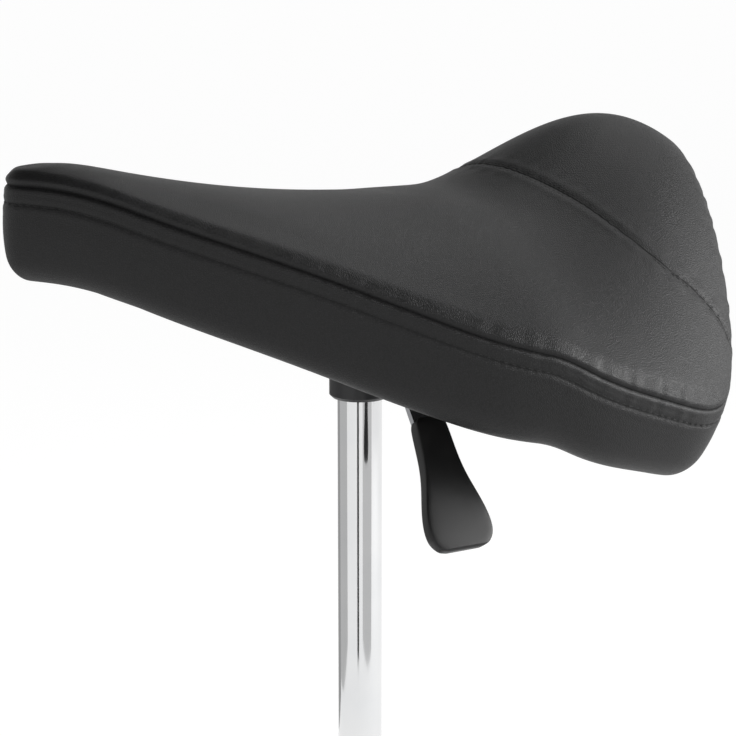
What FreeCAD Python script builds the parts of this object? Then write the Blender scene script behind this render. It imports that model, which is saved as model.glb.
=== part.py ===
import FreeCAD, Part
import math
import os

# Saddle stool: arched upholstered saddle, release lever, gas lift, five-star base and twin-wheel castors.
# Millimetres. +Z up, the nose of the saddle faces -Y, the release lever is on the +X side.
# The origin is on the floor, on the axis of the column.

Vector = FreeCAD.Vector
UP = Vector(0, 0, 1)

# Clearances
RUNNING_FIT = 0.05
SLIDING_FIT = 0.2
SEAT_GAP = 0.3
FREE_GAP = 1.5
PAD_GAP = 0.7
PAD_FOOT_GAP = 1.4

# Castors
LEG_COUNT = 5
WHEEL_RADIUS = 25.0
WHEEL_WIDTH = 19.0
WHEEL_SHOULDER = 3.0
WHEEL_DISH_RADIUS = 17.0
WHEEL_DISH_DEPTH = 3.0
CASTOR_TRAIL = 21.0
CASTOR_WEB = 9.0
CASTOR_HEADINGS = (100, 62, 118, 75, 95)
HOOD_GAP = 2.0
HOOD_WALL = 2.6
AXLE_RADIUS = 4.0
AXLE_CAP_SINK = 1.0
STEM_RADIUS = 5.5
STEM_SINK = 13.0
STEM_COLLAR_RADIUS = 8.0
STEM_COLLAR = 2.5
STEM_LENGTH = 22.0
STEM_BOSS_RADIUS = 11.0
STEM_BOSS_DEPTH = 20.0
WHEEL_SIDE_GAP = 0.7
LEG_UNDERSIDE = 62.0

# Five-star base
LEG_REACH = 270.0
LEG_WALL = 4.0
LEG_ROOT_WIDTH = 46.0
LEG_ROOT_TOP = 110.0
LEG_ROOT_DEPTH = 40.0
LEG_TIP_WIDTH = 27.0
LEG_TIP_TOP = 86.0
LEG_TIP_DEPTH = 22.0
LEG_EDGE_SHARE = 0.24
LEG_BOSS_RADIUS = 15.0
HUB_RADIUS = 35.0
HUB_TOP = 122.0
HUB_BOTTOM = 60.0
HUB_EDGE = 4.0

# Column and gas lift
COLUMN_RADIUS = 25.0
COLUMN_WALL = 1.5
COLUMN_BOTTOM = 52.0
COLUMN_TOP = 335.0
COLUMN_CONE_LENGTH = 66.0
COLUMN_CONE_NARROWING = 0.9
COLUMN_FLOOR = 2.5
BUSH_LENGTH = 58.0
BUSH_LIP = 3.0
BUSH_LIP_RADIUS = 24.3
CYLINDER_RADIUS = 14.0
CYLINDER_WALL = 1.6
CYLINDER_SHOWN = 238.0
CYLINDER_HELD = 55.0
CYLINDER_STANDS = 1.0
CYLINDER_TAPER_NARROWING = 0.75
CYLINDER_CROWN = 3.0
STROKE = 200.0
VALVE_LENGTH = 42.0
VALVE_RADIUS = 9.0
VALVE_WELL = 6.0
INNER_TUBE_RADIUS = 10.0
INNER_TUBE_WALL = 1.0
END_GUIDE_LENGTH = 18.0
PISTON_LENGTH = 14.0
PISTON_GROOVE = 4.0
PISTON_GROOVE_DEPTH = 1.6
ROD_RADIUS = 4.0
ROD_NECK_RADIUS = 3.2
ROD_NECK_GROOVE = 0.8
BEARING_RADIUS = 13.0
BALL_GAP = 0.1
RACE_THICKNESS = 1.6
BALL_RADIUS = 2.0
BALL_COUNT = 6
BALL_PITCH_RADIUS = 9.0
BUFFER_CLEAR = 6.0
BUFFER_RADIUS = 10.0
CLIP_RADIUS = 6.5
CLIP_THICKNESS = 1.0
RELEASE_PIN_RADIUS = 3.5
RELEASE_PIN_STANDS = 4.3
RELEASE_PIN_LENGTH = 34.0
VALVE_SHOULDER = 2.0
ROD_TAIL = 5.0

# Seat mechanism
SOCKET_RADIUS = 19.0
SOCKET_LENGTH = 46.0
PLATE_WIDTH = 104.0
PLATE_LENGTH = 132.0
PLATE_CORNER = 20.0
PLATE_THICKNESS = 3.0
DISH_DEPTH = 27.0
DISH_TOP_RADIUS = 44.0
DISH_BOTTOM_RADIUS = 40.0
BOLT_SPACING_X = 80.0
BOLT_SPACING_Y = 96.0
BOLT_RADIUS = 4.0
BOLT_HEAD_RADIUS = 6.5
BOLT_HEAD_HEIGHT = 5.0
WASHER_RADIUS = 8.0
WASHER_THICKNESS = 1.6
TEE_NUT_RADIUS = 11.0
TEE_NUT_FLANGE = 1.6
TEE_NUT_BARREL_RADIUS = 5.2
EAR_THICKNESS = 3.0
EAR_WIDTH = 14.0
LEVER_PIVOT_X = 25.0
LEVER_PIVOT_RADIUS = 3.0
LEVER_KNUCKLE_RADIUS = 5.0
LEVER_BAR_WIDTH = 18.0
LEVER_BAR_THICKNESS = 4.0
LEVER_BAR_START = -4.5
LEVER_BEND_X = 36.0
PADDLE_START = Vector(76, 0, -1)
PADDLE_END = Vector(119, 0, -72)
PADDLE_INSERT = 26.0
PADDLE_SECTIONS = (
    (0.0, 17.0, 9.0),
    (0.12, 22.0, 9.5),
    (0.38, 24.0, 9.0),
    (0.62, 36.0, 8.5),
    (0.84, 43.0, 8.0),
    (0.96, 36.0, 7.5),
    (1.0, 22.0, 5.5),
)
PADDLE_CORNER_SHARE = 0.3
PIVOT_DROP = 1.5
SOCKET_CHAMFER = 2.0
KEY_RADIUS = 3.0
PIN_CHAMFER = 0.6

# Saddle: heights above the reference level, and the plan of the edge seam on the +X side
SEAT_LEVEL = 577.0
DIP_HEIGHT = 124.3
DIP_Y = 14.0
NOSE_RISE = 43.7
NOSE_RUN = 251.0
NOSE_POWER = 1.93
NOSE_DROP = 13.0
NOSE_DROP_Y = -175.0
NOSE_DROP_RUN = 50.0
CANTLE_RISE = 39.5
CANTLE_START_Y = 55.0
CANTLE_CREST_Y = 181.5
CANTLE_FALL = 14.8
CANTLE_FALL_RUN = 46.0
ARCH_FALL = 28.5
ARCH_SPAN = 100.0
NOSE_ARCH_FALL = 21.0
NOSE_ARCH_Y = -60.0
NOSE_ARCH_RUN = 140.0
NOSE_ARCH_POWER = 2.7
REAR_ARCH_FALL = 47.5
REAR_ARCH_Y = 33.0
REAR_ARCH_RUN = 165.0
REAR_ARCH_POWER = 1.54
EDGE_ROLL = 7.0
PILLOW = 1.5
PILLOW_RUN = 60.0
SPOKE_CENTRE = Vector(0, 20, 0)
SEAM_PLAN = (
    (0, -226),
    (26, -208),
    (47, -182),
    (77, -133),
    (101, -88),
    (124, -43),
    (147, 5),
    (162, 57),
    (166, 108),
    (158, 158),
    (114, 197),
    (55, 221),
    (0, 233),
)
SPOKES_PER_SIDE = 20

# Side of the saddle at the nose, at the widest part and at the rear
SIDE_HEIGHTS = (54.8, 56.2, 33.0)
SIDE_LEANS = (5.2, 11.4, 32.0)
SIDE_BULGE = 5.1
HEM_ROUND = 10.5
HEM_ROUND_SHARE = 0.25
HEM_WIDTH = 20.0

# Layers of the saddle
COVER_THICKNESS = 1.6
SEAM_GROOVE = 0.6
SEAM_BEVEL = 1.2
CROSS_SEAM_PLAN = ((0, 98), (54, 105), (92, 122), (117, 146), (146, 212))
CROSS_SEAM_STEPS = 24
PAN_THICKNESS = 12.0
PAN_UNDERSIDE = 56.0
PAN_FLAT_X = 66.0
PAN_FLAT_Y = 92.0
DUST_COVER_THICKNESS = 1.2


# Levels that follow from the sizes
PAN_LEVEL = SEAT_LEVEL + PAN_UNDERSIDE
PAN_TOP = PAN_LEVEL + PAN_THICKNESS
FLANGE_BOTTOM = PAN_LEVEL - PLATE_THICKNESS
WEB_BOTTOM = FLANGE_BOTTOM - DISH_DEPTH
WEB_TOP = WEB_BOTTOM + PLATE_THICKNESS
SOCKET_BOTTOM = COLUMN_TOP + CYLINDER_SHOWN
SOCKET_TOP = SOCKET_BOTTOM + SOCKET_LENGTH
CYLINDER_TOP = SOCKET_TOP + CYLINDER_STANDS
PIN_TOP = CYLINDER_TOP + RELEASE_PIN_STANDS
BAR_BOTTOM = PIN_TOP + SEAT_GAP
PIVOT_Z = BAR_BOTTOM - PIVOT_DROP
SEAT_REFERENCE = Vector(0, 0, SEAT_LEVEL)
CYLINDER_BOTTOM = COLUMN_TOP - CYLINDER_HELD
CYLINDER_BORE = CYLINDER_RADIUS - CYLINDER_WALL
SHOULDER_Z = SOCKET_BOTTOM - VALVE_SHOULDER
VALVE_TOP = CYLINDER_TOP - CYLINDER_CROWN
INNER_BORE = INNER_TUBE_RADIUS - INNER_TUBE_WALL
GUIDE_TOP = CYLINDER_BOTTOM + END_GUIDE_LENGTH
PISTON_BOTTOM = GUIDE_TOP + SEAT_GAP
PISTON_TOP = PISTON_BOTTOM + PISTON_LENGTH
FLOOR_TOP = COLUMN_BOTTOM + COLUMN_FLOOR
LOWER_RACE_TOP = FLOOR_TOP + RACE_THICKNESS
UPPER_RACE_BOTTOM = LOWER_RACE_TOP + 2 * BALL_RADIUS + BALL_GAP + SEAT_GAP
UPPER_RACE_TOP = UPPER_RACE_BOTTOM + RACE_THICKNESS
BUFFER_TOP = CYLINDER_BOTTOM - STROKE - BUFFER_CLEAR


# Small building blocks
def save(name, shape):
    """Write one named piece."""
    shape.exportStep(os.path.join("parts", name + ".step"))


def tube(outer, inner, bottom, top, x=0.0, y=0.0):
    """An upright tube, or a rod where the inner radius is nothing."""
    body = Part.makeCylinder(outer, top - bottom, Vector(x, y, bottom), UP)
    if inner > 0:
        body = body.cut(Part.makeCylinder(inner, top - bottom, Vector(x, y, bottom), UP))
    return body


def turned(profile):
    """A closed (radius, height) profile turned round the Z axis."""
    points = [Vector(radius, 0, height) for radius, height in profile]
    face = Part.Face(Part.makePolygon(points + [points[0]]))
    return face.revolve(Vector(0, 0, 0), UP, 360)


def box(low, high):
    """A block between two corners."""
    return Part.makeBox(high.x - low.x, high.y - low.y, high.z - low.z, low)


def rounded_plate(width, length, corner, bottom, top):
    """A plate with round corners, centred on the Z axis."""
    plate = Part.makeBox(width, length, top - bottom, Vector(-width / 2, -length / 2, bottom))
    uprights = [edge for edge in plate.Edges if abs(edge.Vertexes[0].Z - edge.Vertexes[1].Z) > (top - bottom) / 2]
    return plate.makeFillet(corner, uprights)


def turned_by(shape, degrees, centre=Vector(0, 0, 0), axis=UP):
    """A copy turned round an axis."""
    copy = shape.copy()
    copy.rotate(centre, axis, degrees)
    return copy


def moved_to(shape, place):
    """A copy moved by a vector."""
    copy = shape.copy()
    copy.translate(place)
    return copy


def smooth_step(value):
    """0 to 1 with a level start and end."""
    share = min(max(value, 0.0), 1.0)
    return share * share * (3 - 2 * share)


# Form of the saddle
def ridge_height(y):
    """Height of the centre line: a dip for the sitter, a raised nose and a high cantle."""
    height = DIP_HEIGHT
    if y < DIP_Y:
        height += NOSE_RISE * ((DIP_Y - y) / NOSE_RUN) ** NOSE_POWER
    if y < NOSE_DROP_Y:
        height -= NOSE_DROP * ((NOSE_DROP_Y - y) / NOSE_DROP_RUN) ** 2
    height += CANTLE_RISE * smooth_step((y - CANTLE_START_Y) / (CANTLE_CREST_Y - CANTLE_START_Y))
    if y > CANTLE_CREST_Y:
        height -= CANTLE_FALL * ((y - CANTLE_CREST_Y) / CANTLE_FALL_RUN) ** 2
    return height


def arch_fall(x, y):
    """How far the arched top has fallen at x beside the centre line."""
    fall = ARCH_FALL
    if y < NOSE_ARCH_Y:
        fall += NOSE_ARCH_FALL * ((NOSE_ARCH_Y - y) / NOSE_ARCH_RUN) ** NOSE_ARCH_POWER
    if y > REAR_ARCH_Y:
        fall += REAR_ARCH_FALL * ((y - REAR_ARCH_Y) / REAR_ARCH_RUN) ** REAR_ARCH_POWER
    return fall * (x / ARCH_SPAN) ** 2


def edge_fall(inside):
    """The soft pillow towards the seam and the round roll of the last few millimetres."""
    fall = PILLOW * max(0.0, 1 - inside / PILLOW_RUN) ** 2
    roll = max(0.0, 1 - inside / EDGE_ROLL)
    return fall + EDGE_ROLL * (1 - math.sqrt(1 - roll * roll))


def seam_plan_points():
    """Points of the edge seam in plan, evenly spaced from the nose round to the rear and back."""
    right = [Vector(x, y, 0) for x, y in SEAM_PLAN]
    left = [Vector(-x, y, 0) for x, y in reversed(SEAM_PLAN[1:-1])]
    curve = Part.BSplineCurve()
    curve.interpolate(Points=right + left, PeriodicFlag=True)
    evenly = curve.discretize(Number=2 * SPOKES_PER_SIDE + 1)
    half = evenly[: SPOKES_PER_SIDE + 1]
    half[0].x = 0.0
    half[-1].x = 0.0
    return half + [Vector(-point.x, point.y, 0) for point in reversed(half[1:-1])]


SEAM = seam_plan_points()
SPOKES = len(SEAM)


def outward(spoke):
    """Outward direction of the seam in plan."""
    along = SEAM[(spoke + 1) % SPOKES].sub(SEAM[spoke - 1])
    return Vector(along.y, -along.x, 0).normalize()


def spoke_length(spoke):
    """Distance from the middle of the saddle to the seam."""
    return SEAM[spoke].sub(SPOKE_CENTRE).Length


def round_the_side(values, spoke):
    """A value that runs smoothly from the nose past the side to the rear."""
    nose, middle, rear = values
    angle = math.atan2(abs(SEAM[spoke].x), SPOKE_CENTRE.y - SEAM[spoke].y)
    sway = (nose + rear - 2 * middle) / 4
    return middle + sway + (nose - rear) / 2 * math.cos(angle) + sway * math.cos(2 * angle)


def top_point(spoke, inside):
    """Point of the top, a distance inside the seam."""
    share = 1 - inside / spoke_length(spoke)
    plan = SPOKE_CENTRE.add(SEAM[spoke].sub(SPOKE_CENTRE).multiply(share))
    height = ridge_height(plan.y) - arch_fall(plan.x, plan.y) - edge_fall(inside)
    return Vector(plan.x, plan.y, SEAT_LEVEL + height)


def side_point(spoke, share):
    """Point of the side, from the seam (0) down to the hem (1)."""
    seam = top_point(spoke, 0.0)
    out = SIDE_BULGE * math.sin(0.8 * math.pi * share) - round_the_side(SIDE_LEANS, spoke) * share
    hem = max(0.0, (share - 1 + HEM_ROUND_SHARE) / HEM_ROUND_SHARE)
    out -= HEM_ROUND * (1 - math.sqrt(1 - hem * hem))
    down = round_the_side(SIDE_HEIGHTS, spoke) * share
    return seam.add(outward(spoke).multiply(out)).sub(Vector(0, 0, down))


def inward_offset(point_at, spoke, place, back, depth):
    """A point of the skin moved inwards by a depth, square to the skin; back leads towards the crown."""
    here = point_at(spoke, place)
    along = point_at((spoke + 1) % SPOKES, place).sub(point_at(spoke - 1, place))
    across = point_at(spoke, place + back).sub(here)
    return here.add(across.cross(along).normalize().multiply(depth))


# Places where the layers get a ring of points
TOP_SHARES = (0.04, 0.15, 0.28, 0.42, 0.56, 0.7, 0.84)
SIDE_SHARES = (0.25, 0.5, 0.75)
PAN_PLACES = (3.0, 2.5, 2.0, 1.95, 1.75, 1.5, 1.25, 1.0, 0.1)
ROLL_STEPS = 3
FINE_SHARE = 0.01
FINE_STEP = 0.2
HEM_STEPS = 3
HEM_START = 2.0
HEM_END = 2.5
DUST_COVER_START = 1.25
DUST_COVER_END = 1.95


def top_ring(depth, share=None, inside=None):
    """One ring of the top skin, a depth under the surface."""
    points = []
    for spoke in range(SPOKES):
        place = inside if share is None else spoke_length(spoke) * (1 - share)
        points.append(inward_offset(top_point, spoke, max(place, FINE_SHARE), FINE_STEP, depth))
    return points


def side_ring(depth, share, lift=0.0):
    """One ring of the side skin, a depth under the surface and a lift above its share."""
    points = []
    for spoke in range(SPOKES):
        place = share - lift / round_the_side(SIDE_HEIGHTS, spoke)
        points.append(inward_offset(side_point, spoke, place, -FINE_SHARE, depth))
    return points


def level(points):
    """The same ring laid in one level plane, for a flat end."""
    mean = sum(point.z for point in points) / len(points)
    return [Vector(point.x, point.y, mean) for point in points]


def top_rings(depth):
    """Rings of the top from the flat middle, over the roll, down to the seam."""
    rings = [level(top_ring(depth, share=TOP_SHARES[0]))]
    rings += [top_ring(depth, share=share) for share in TOP_SHARES[1:]]
    for step in range(ROLL_STEPS + 1):
        turn = math.pi / 2 * step / ROLL_STEPS
        rings.append(top_ring(depth, inside=EDGE_ROLL * (1 - math.sin(turn))))
    return rings


def side_rings(depth, start_lift):
    """Rings of the side from just under the seam down round the hem."""
    rings = [side_ring(depth, 0.0, lift=start_lift)]
    rings += [side_ring(depth, share) for share in SIDE_SHARES]
    for step in range(1, HEM_STEPS + 1):
        turn = math.pi / 2 * step / HEM_STEPS
        rings.append(side_ring(depth, 1 - HEM_ROUND_SHARE * (1 - math.sin(turn))))
    return rings


def pan_edge(spoke):
    """Lower edge of the pan, inside the hem of the cover."""
    return inward_offset(side_point, spoke, 1.0, -FINE_SHARE, COVER_THICKNESS + PAD_GAP)


def flat_share(spoke, edge):
    """Share of the way to the edge at which a spoke leaves the level middle of the pan."""
    step_x = edge.x / PAN_FLAT_X
    step_y = (edge.y - SPOKE_CENTRE.y) / PAN_FLAT_Y
    start_y = SPOKE_CENTRE.y / PAN_FLAT_Y
    square = step_x * step_x + step_y * step_y
    half = start_y * step_y
    return (math.sqrt(half * half + square * (1 - start_y * start_y)) - half) / square


def pan_point(spoke, place):
    """Point of the underside of the pan: 0 to 1 level middle, 1 to 2 slope, 2 to 3 hem of the cover."""
    edge = pan_edge(spoke)
    reach = Vector(edge.x, edge.y, 0).sub(SPOKE_CENTRE).Length
    flat = flat_share(spoke, edge)
    hem = 1 - HEM_WIDTH / reach
    if place < 1:
        share = flat * place
    elif place < 2:
        share = flat + (hem - flat) * (place - 1)
    else:
        share = hem + (1 - hem) * (place - 2)
    plan = SPOKE_CENTRE.add(Vector(edge.x, edge.y, 0).sub(SPOKE_CENTRE).multiply(share))
    fall = smooth_step((share - flat) / (1 - flat))
    return Vector(plan.x, plan.y, PAN_LEVEL + (edge.z - PAN_LEVEL) * fall)


def pan_rings(depth, low, high):
    """Rings of the pan from its edge to its level middle, a depth above its underside."""
    rings = []
    for place in PAN_PLACES:
        if low <= place <= high:
            rings.append([inward_offset(pan_point, spoke, place, FINE_SHARE, depth) for spoke in range(SPOKES)])
    return rings


def facet(a, b, c):
    """One flat three-sided facet, or nothing where two corners meet."""
    if min(a.distanceToPoint(b), b.distanceToPoint(c), c.distanceToPoint(a)) < 0.001:
        return []
    return [Part.Face(Part.makePolygon([a, b, c, a]))]


def band(lower, upper):
    """Flat facets between two rings."""
    faces = []
    count = len(lower)
    for here in range(count):
        there = (here + 1) % count
        # Both halves of the saddle are split alike, mirrored about the centre line
        if here < count / 2:
            faces += facet(lower[here], lower[there], upper[there])
            faces += facet(lower[here], upper[there], upper[here])
        else:
            faces += facet(lower[here], lower[there], upper[here])
            faces += facet(lower[there], upper[there], upper[here])
    return faces


def cap(points):
    """Flat face that closes a level ring."""
    return [Part.Face(Part.makePolygon(points + [points[0]]))]


def skin(rings):
    """Flat facets between each ring and the next."""
    faces = []
    for lower, upper in zip(rings, rings[1:]):
        faces += band(lower, upper)
    return faces


def solid_of(faces):
    """The solid inside a closed set of facets."""
    shell = Part.makeShell(faces)
    shell.sewShape()
    return Part.makeSolid(shell.Shells[0])


def solid_through(rings):
    """A solid whose skin runs through a row of rings, with flat ends."""
    return solid_of(skin(rings) + cap(rings[0]) + cap(rings[-1]))


def layer_between(outside, inside, start):
    """A thin layer between two skins of like rings, joined by a start and by a rim at the last rings."""
    return solid_of(skin(outside) + skin(inside) + start + band(outside[-1], inside[-1]))


def cross_seam_cutter(gap_side):
    """A tall block behind the cross seam, moved off the seam by half the groove."""
    curve = Part.BSplineCurve()
    left = [Vector(-x, y, 0) for x, y in reversed(CROSS_SEAM_PLAN[1:])]
    right = [Vector(x, y, 0) for x, y in CROSS_SEAM_PLAN]
    curve.interpolate(Points=left + right)
    shift = Vector(0, gap_side * SEAM_GROOVE / 2, 0)
    seam = [point.add(shift) for point in curve.discretize(Number=CROSS_SEAM_STEPS + 1)]
    behind = SEAM_PLAN[-1][1] + PAN_THICKNESS
    corners = [Vector(seam[-1].x, behind, 0), Vector(seam[0].x, behind, 0)]
    face = Part.Face(Part.makePolygon(seam + corners + [seam[0]]))
    block = face.extrude(Vector(0, 0, 2 * SEAT_LEVEL))
    return block


def build_cover():
    """Front and rear top panels of the cover, and the side band that wraps the edge of the pan."""
    outside = top_rings(0.0)
    inside = top_rings(COVER_THICKNESS)
    top = layer_between(outside, inside, cap(outside[0]) + cap(inside[0]))
    save("seat_cover_front_panel", top.cut(cross_seam_cutter(-1)))
    save("seat_cover_rear_panel", top.common(cross_seam_cutter(1)))

    outside = side_rings(0.0, -SEAM_GROOVE) + pan_rings(-PAD_GAP - COVER_THICKNESS, HEM_START, HEM_END)
    inside = side_rings(COVER_THICKNESS, -SEAM_GROOVE - SEAM_BEVEL) + pan_rings(-PAD_GAP, HEM_START, HEM_END)
    save("seat_cover_side_band", layer_between(outside, inside, band(inside[0], outside[0])))


def build_foam():
    """Moulded foam between the cover and the pan."""
    depth = COVER_THICKNESS + PAD_GAP
    foot = PAN_THICKNESS + PAD_FOOT_GAP
    crown = top_rings(depth)
    side = [side_ring(depth, share) for share in SIDE_SHARES[:-1]]
    side.append(side_ring(depth, 1.0, lift=foot))
    foam = solid_through(crown + side + pan_rings(foot, 0, PAN_PLACES[0]))
    for place in bolt_places():
        recess = tube(TEE_NUT_RADIUS + SEAT_GAP, 0, PAN_TOP, PAN_TOP + TEE_NUT_FLANGE + SEAT_GAP, place.x, place.y)
        foam = foam.cut(recess)
    save("seat_foam", foam)


def build_pan():
    """Moulded plywood pan with a flat middle for the mechanism and holes for its bolts."""
    depth = COVER_THICKNESS + PAD_GAP
    edge = [side_ring(depth, 1.0, lift=PAN_THICKNESS)]
    for step in range(1, HEM_STEPS):
        turn = math.pi / 2 * step / HEM_STEPS
        edge.append(side_ring(depth, 1 - HEM_ROUND_SHARE * (1 - math.sin(turn))))
    above = pan_rings(PAN_THICKNESS, 0, PAN_PLACES[0])
    under = pan_rings(0.0, 0, PAN_PLACES[0])
    rim = skin([above[0]] + edge + [under[0]])
    pan = solid_of(cap(above[-1]) + skin(above) + rim + skin(under) + cap(under[-1]))
    for place in bolt_places():
        pan = pan.cut(tube(TEE_NUT_BARREL_RADIUS + SLIDING_FIT, 0, PAN_LEVEL, PAN_TOP, place.x, place.y))
    save("seat_pan", pan)


def build_dust_cover():
    """Thin black cloth panel under the pan, between the hem and the mechanism plate."""
    upper = pan_rings(-SEAT_GAP, DUST_COVER_START, DUST_COVER_END)
    lower = pan_rings(-SEAT_GAP - DUST_COVER_THICKNESS, DUST_COVER_START, DUST_COVER_END)
    save("dust_cover", layer_between(lower, upper, band(upper[0], lower[0])))


# Seat mechanism
def bolt_places():
    """Plan places of the four seat bolts."""
    places = []
    for side in (-1, 1):
        for end in (-1, 1):
            places.append(Vector(side * BOLT_SPACING_X / 2, end * BOLT_SPACING_Y / 2, 0))
    return places


def taper_radius(height):
    """Radius of the gas cylinder's cone at a height."""
    share = (height - SOCKET_BOTTOM) / (CYLINDER_TOP - SOCKET_BOTTOM)
    return CYLINDER_RADIUS - CYLINDER_TAPER_NARROWING * share


def build_plate():
    """Pressed plate: a flange bolted to the pan and a round dish that carries the socket and the lever."""
    flange = rounded_plate(PLATE_WIDTH, PLATE_LENGTH, PLATE_CORNER, FLANGE_BOTTOM, PAN_LEVEL)
    mouth = DISH_TOP_RADIUS - PLATE_THICKNESS
    flange = flange.cut(tube(mouth, 0, FLANGE_BOTTOM, PAN_LEVEL))
    dish = turned(
        (
            (SOCKET_RADIUS, WEB_BOTTOM),
            (DISH_BOTTOM_RADIUS, WEB_BOTTOM),
            (DISH_TOP_RADIUS, FLANGE_BOTTOM),
            (DISH_TOP_RADIUS, PAN_LEVEL),
            (mouth, PAN_LEVEL),
            (mouth, FLANGE_BOTTOM),
            (DISH_BOTTOM_RADIUS - PLATE_THICKNESS, WEB_TOP),
            (SOCKET_RADIUS, WEB_TOP),
        )
    )
    plate = flange.fuse(dish)
    slot_half = LEVER_BAR_WIDTH / 2 + FREE_GAP
    slot_low = Vector(DISH_BOTTOM_RADIUS - 2 * PLATE_THICKNESS, -slot_half, WEB_TOP)
    plate = plate.cut(box(slot_low, Vector(DISH_TOP_RADIUS + PLATE_THICKNESS, slot_half, FLANGE_BOTTOM)))
    for place in bolt_places():
        plate = plate.cut(tube(BOLT_RADIUS + SLIDING_FIT, 0, FLANGE_BOTTOM, PAN_LEVEL, place.x, place.y))
    ear_inside = LEVER_BAR_WIDTH / 2 + SLIDING_FIT
    for side in (-1, 1):
        near = side * ear_inside
        far = side * (ear_inside + EAR_THICKNESS)
        low = Vector(LEVER_PIVOT_X - EAR_WIDTH / 2, min(near, far), WEB_TOP)
        high = Vector(LEVER_PIVOT_X + EAR_WIDTH / 2, max(near, far), PIVOT_Z + EAR_WIDTH / 4)
        plate = plate.fuse(box(low, high))
    pin_hole = across_pivot(LEVER_PIVOT_RADIUS, ear_inside + EAR_THICKNESS)
    save("mounting_plate", plate.cut(pin_hole).removeSplitter())


def across_pivot(radius, half):
    """A cylinder along the lever pivot."""
    return Part.makeCylinder(radius, 2 * half, Vector(LEVER_PIVOT_X, -half, PIVOT_Z), Vector(0, 1, 0))


def build_socket():
    """Tapered socket welded into the plate, seated on the cone of the gas cylinder."""
    low = taper_radius(SOCKET_BOTTOM)
    high = taper_radius(SOCKET_TOP)
    body = tube(SOCKET_RADIUS, 0, SOCKET_BOTTOM, SOCKET_TOP)
    body = body.makeChamfer(SOCKET_CHAMFER, [body.Edges[index] for index in bottom_edges(body, SOCKET_BOTTOM)])
    save("taper_socket", body.cut(Part.makeCone(low, high, SOCKET_LENGTH, Vector(0, 0, SOCKET_BOTTOM), UP)))


def bottom_edges(shape, height):
    """Numbers of the edges that lie level at a height."""
    found = []
    for index, edge in enumerate(shape.Edges):
        bounds = edge.BoundBox
        if abs(bounds.ZMin - height) < 0.01 and abs(bounds.ZMax - height) < 0.01:
            found.append(index)
    return found


def build_fasteners():
    """Seat bolts with their spring washers and the tee nuts in the pan."""
    bolts = []
    washers = []
    nuts = []
    for place in bolt_places():
        washer_top = FLANGE_BOTTOM
        head_top = washer_top - WASHER_THICKNESS
        washers.append(tube(WASHER_RADIUS, BOLT_RADIUS + SLIDING_FIT, head_top, washer_top, place.x, place.y))
        head = tube(BOLT_HEAD_RADIUS, 0, head_top - BOLT_HEAD_HEIGHT, head_top, place.x, place.y)
        head = head.cut(hexagon(KEY_RADIUS, head_top - BOLT_HEAD_HEIGHT, BOLT_HEAD_HEIGHT / 2, place))
        bolts.append(head.fuse(tube(BOLT_RADIUS, 0, head_top, PAN_TOP, place.x, place.y)))
        barrel = tube(TEE_NUT_BARREL_RADIUS, BOLT_RADIUS, PAN_LEVEL + SEAT_GAP, PAN_TOP, place.x, place.y)
        flange = tube(TEE_NUT_RADIUS, BOLT_RADIUS, PAN_TOP, PAN_TOP + TEE_NUT_FLANGE, place.x, place.y)
        nuts.append(barrel.fuse(flange).removeSplitter())
    save("seat_bolts", Part.makeCompound(bolts))
    save("bolt_washers", Part.makeCompound(washers))
    save("tee_nuts", Part.makeCompound(nuts))


def hexagon(radius, bottom, height, place):
    """A six-sided key recess."""
    corners = []
    for corner in range(6):
        angle = math.pi / 3 * corner
        corners.append(Vector(place.x + radius * math.cos(angle), place.y + radius * math.sin(angle), bottom))
    return Part.Face(Part.makePolygon(corners + [corners[0]])).extrude(Vector(0, 0, height))


def lever_path(offset):
    """Side outline of the lever bar, above (+) or below (-) its middle line."""
    middle = BAR_BOTTOM + LEVER_BAR_THICKNESS / 2
    bend = Vector(LEVER_BEND_X, 0, middle)
    end = SEAT_REFERENCE.add(PADDLE_START).add(paddle_direction().multiply(PADDLE_INSERT))
    down = end.sub(bend).normalize()
    square = Vector(-down.z, 0, down.x)
    turn = math.acos(down.x) / 2
    corner = Vector(LEVER_BEND_X + offset * math.tan(turn), 0, middle + offset)
    return [Vector(LEVER_BAR_START, 0, middle + offset), corner, end.add(square.multiply(offset))]


def paddle_direction():
    """Direction in which the paddle hangs."""
    return PADDLE_END.sub(PADDLE_START).normalize()


def build_lever():
    """Bent steel bar that rocks on the pivot pin, with a moulded paddle pushed over its end."""
    half = LEVER_BAR_THICKNESS / 2
    outline = lever_path(half) + lever_path(-half)[::-1]
    bar_half = LEVER_BAR_WIDTH / 2
    side = [point.add(Vector(0, -bar_half, 0)) for point in outline]
    bar = Part.Face(Part.makePolygon(side + [side[0]])).extrude(Vector(0, 2 * bar_half, 0))
    knuckle = across_pivot(LEVER_KNUCKLE_RADIUS, bar_half)
    bore = across_pivot(LEVER_PIVOT_RADIUS + RUNNING_FIT, bar_half)
    bar = bar.fuse(knuckle).cut(bore).removeSplitter()
    pin = across_pivot(LEVER_PIVOT_RADIUS, bar_half + SLIDING_FIT + EAR_THICKNESS)
    save("lever_arm", bar)
    save("lever_pivot_pin", pin)
    save("lever_paddle", paddle().cut(bar))


def paddle():
    """Paddle lofted through rounded sections: a narrow neck that swells to a broad round end."""
    along = paddle_direction()
    across = Vector(0, 1, 0)
    square = along.cross(across)
    start = SEAT_REFERENCE.add(PADDLE_START)
    length = PADDLE_END.sub(PADDLE_START).Length
    wires = []
    for share, width, thickness in PADDLE_SECTIONS:
        centre = start.add(Vector(along).multiply(length * share))
        wires.append(rounded_section(centre, across, square, width, thickness, PADDLE_CORNER_SHARE * thickness))
    return Part.makeLoft(wires, True, True)


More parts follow.
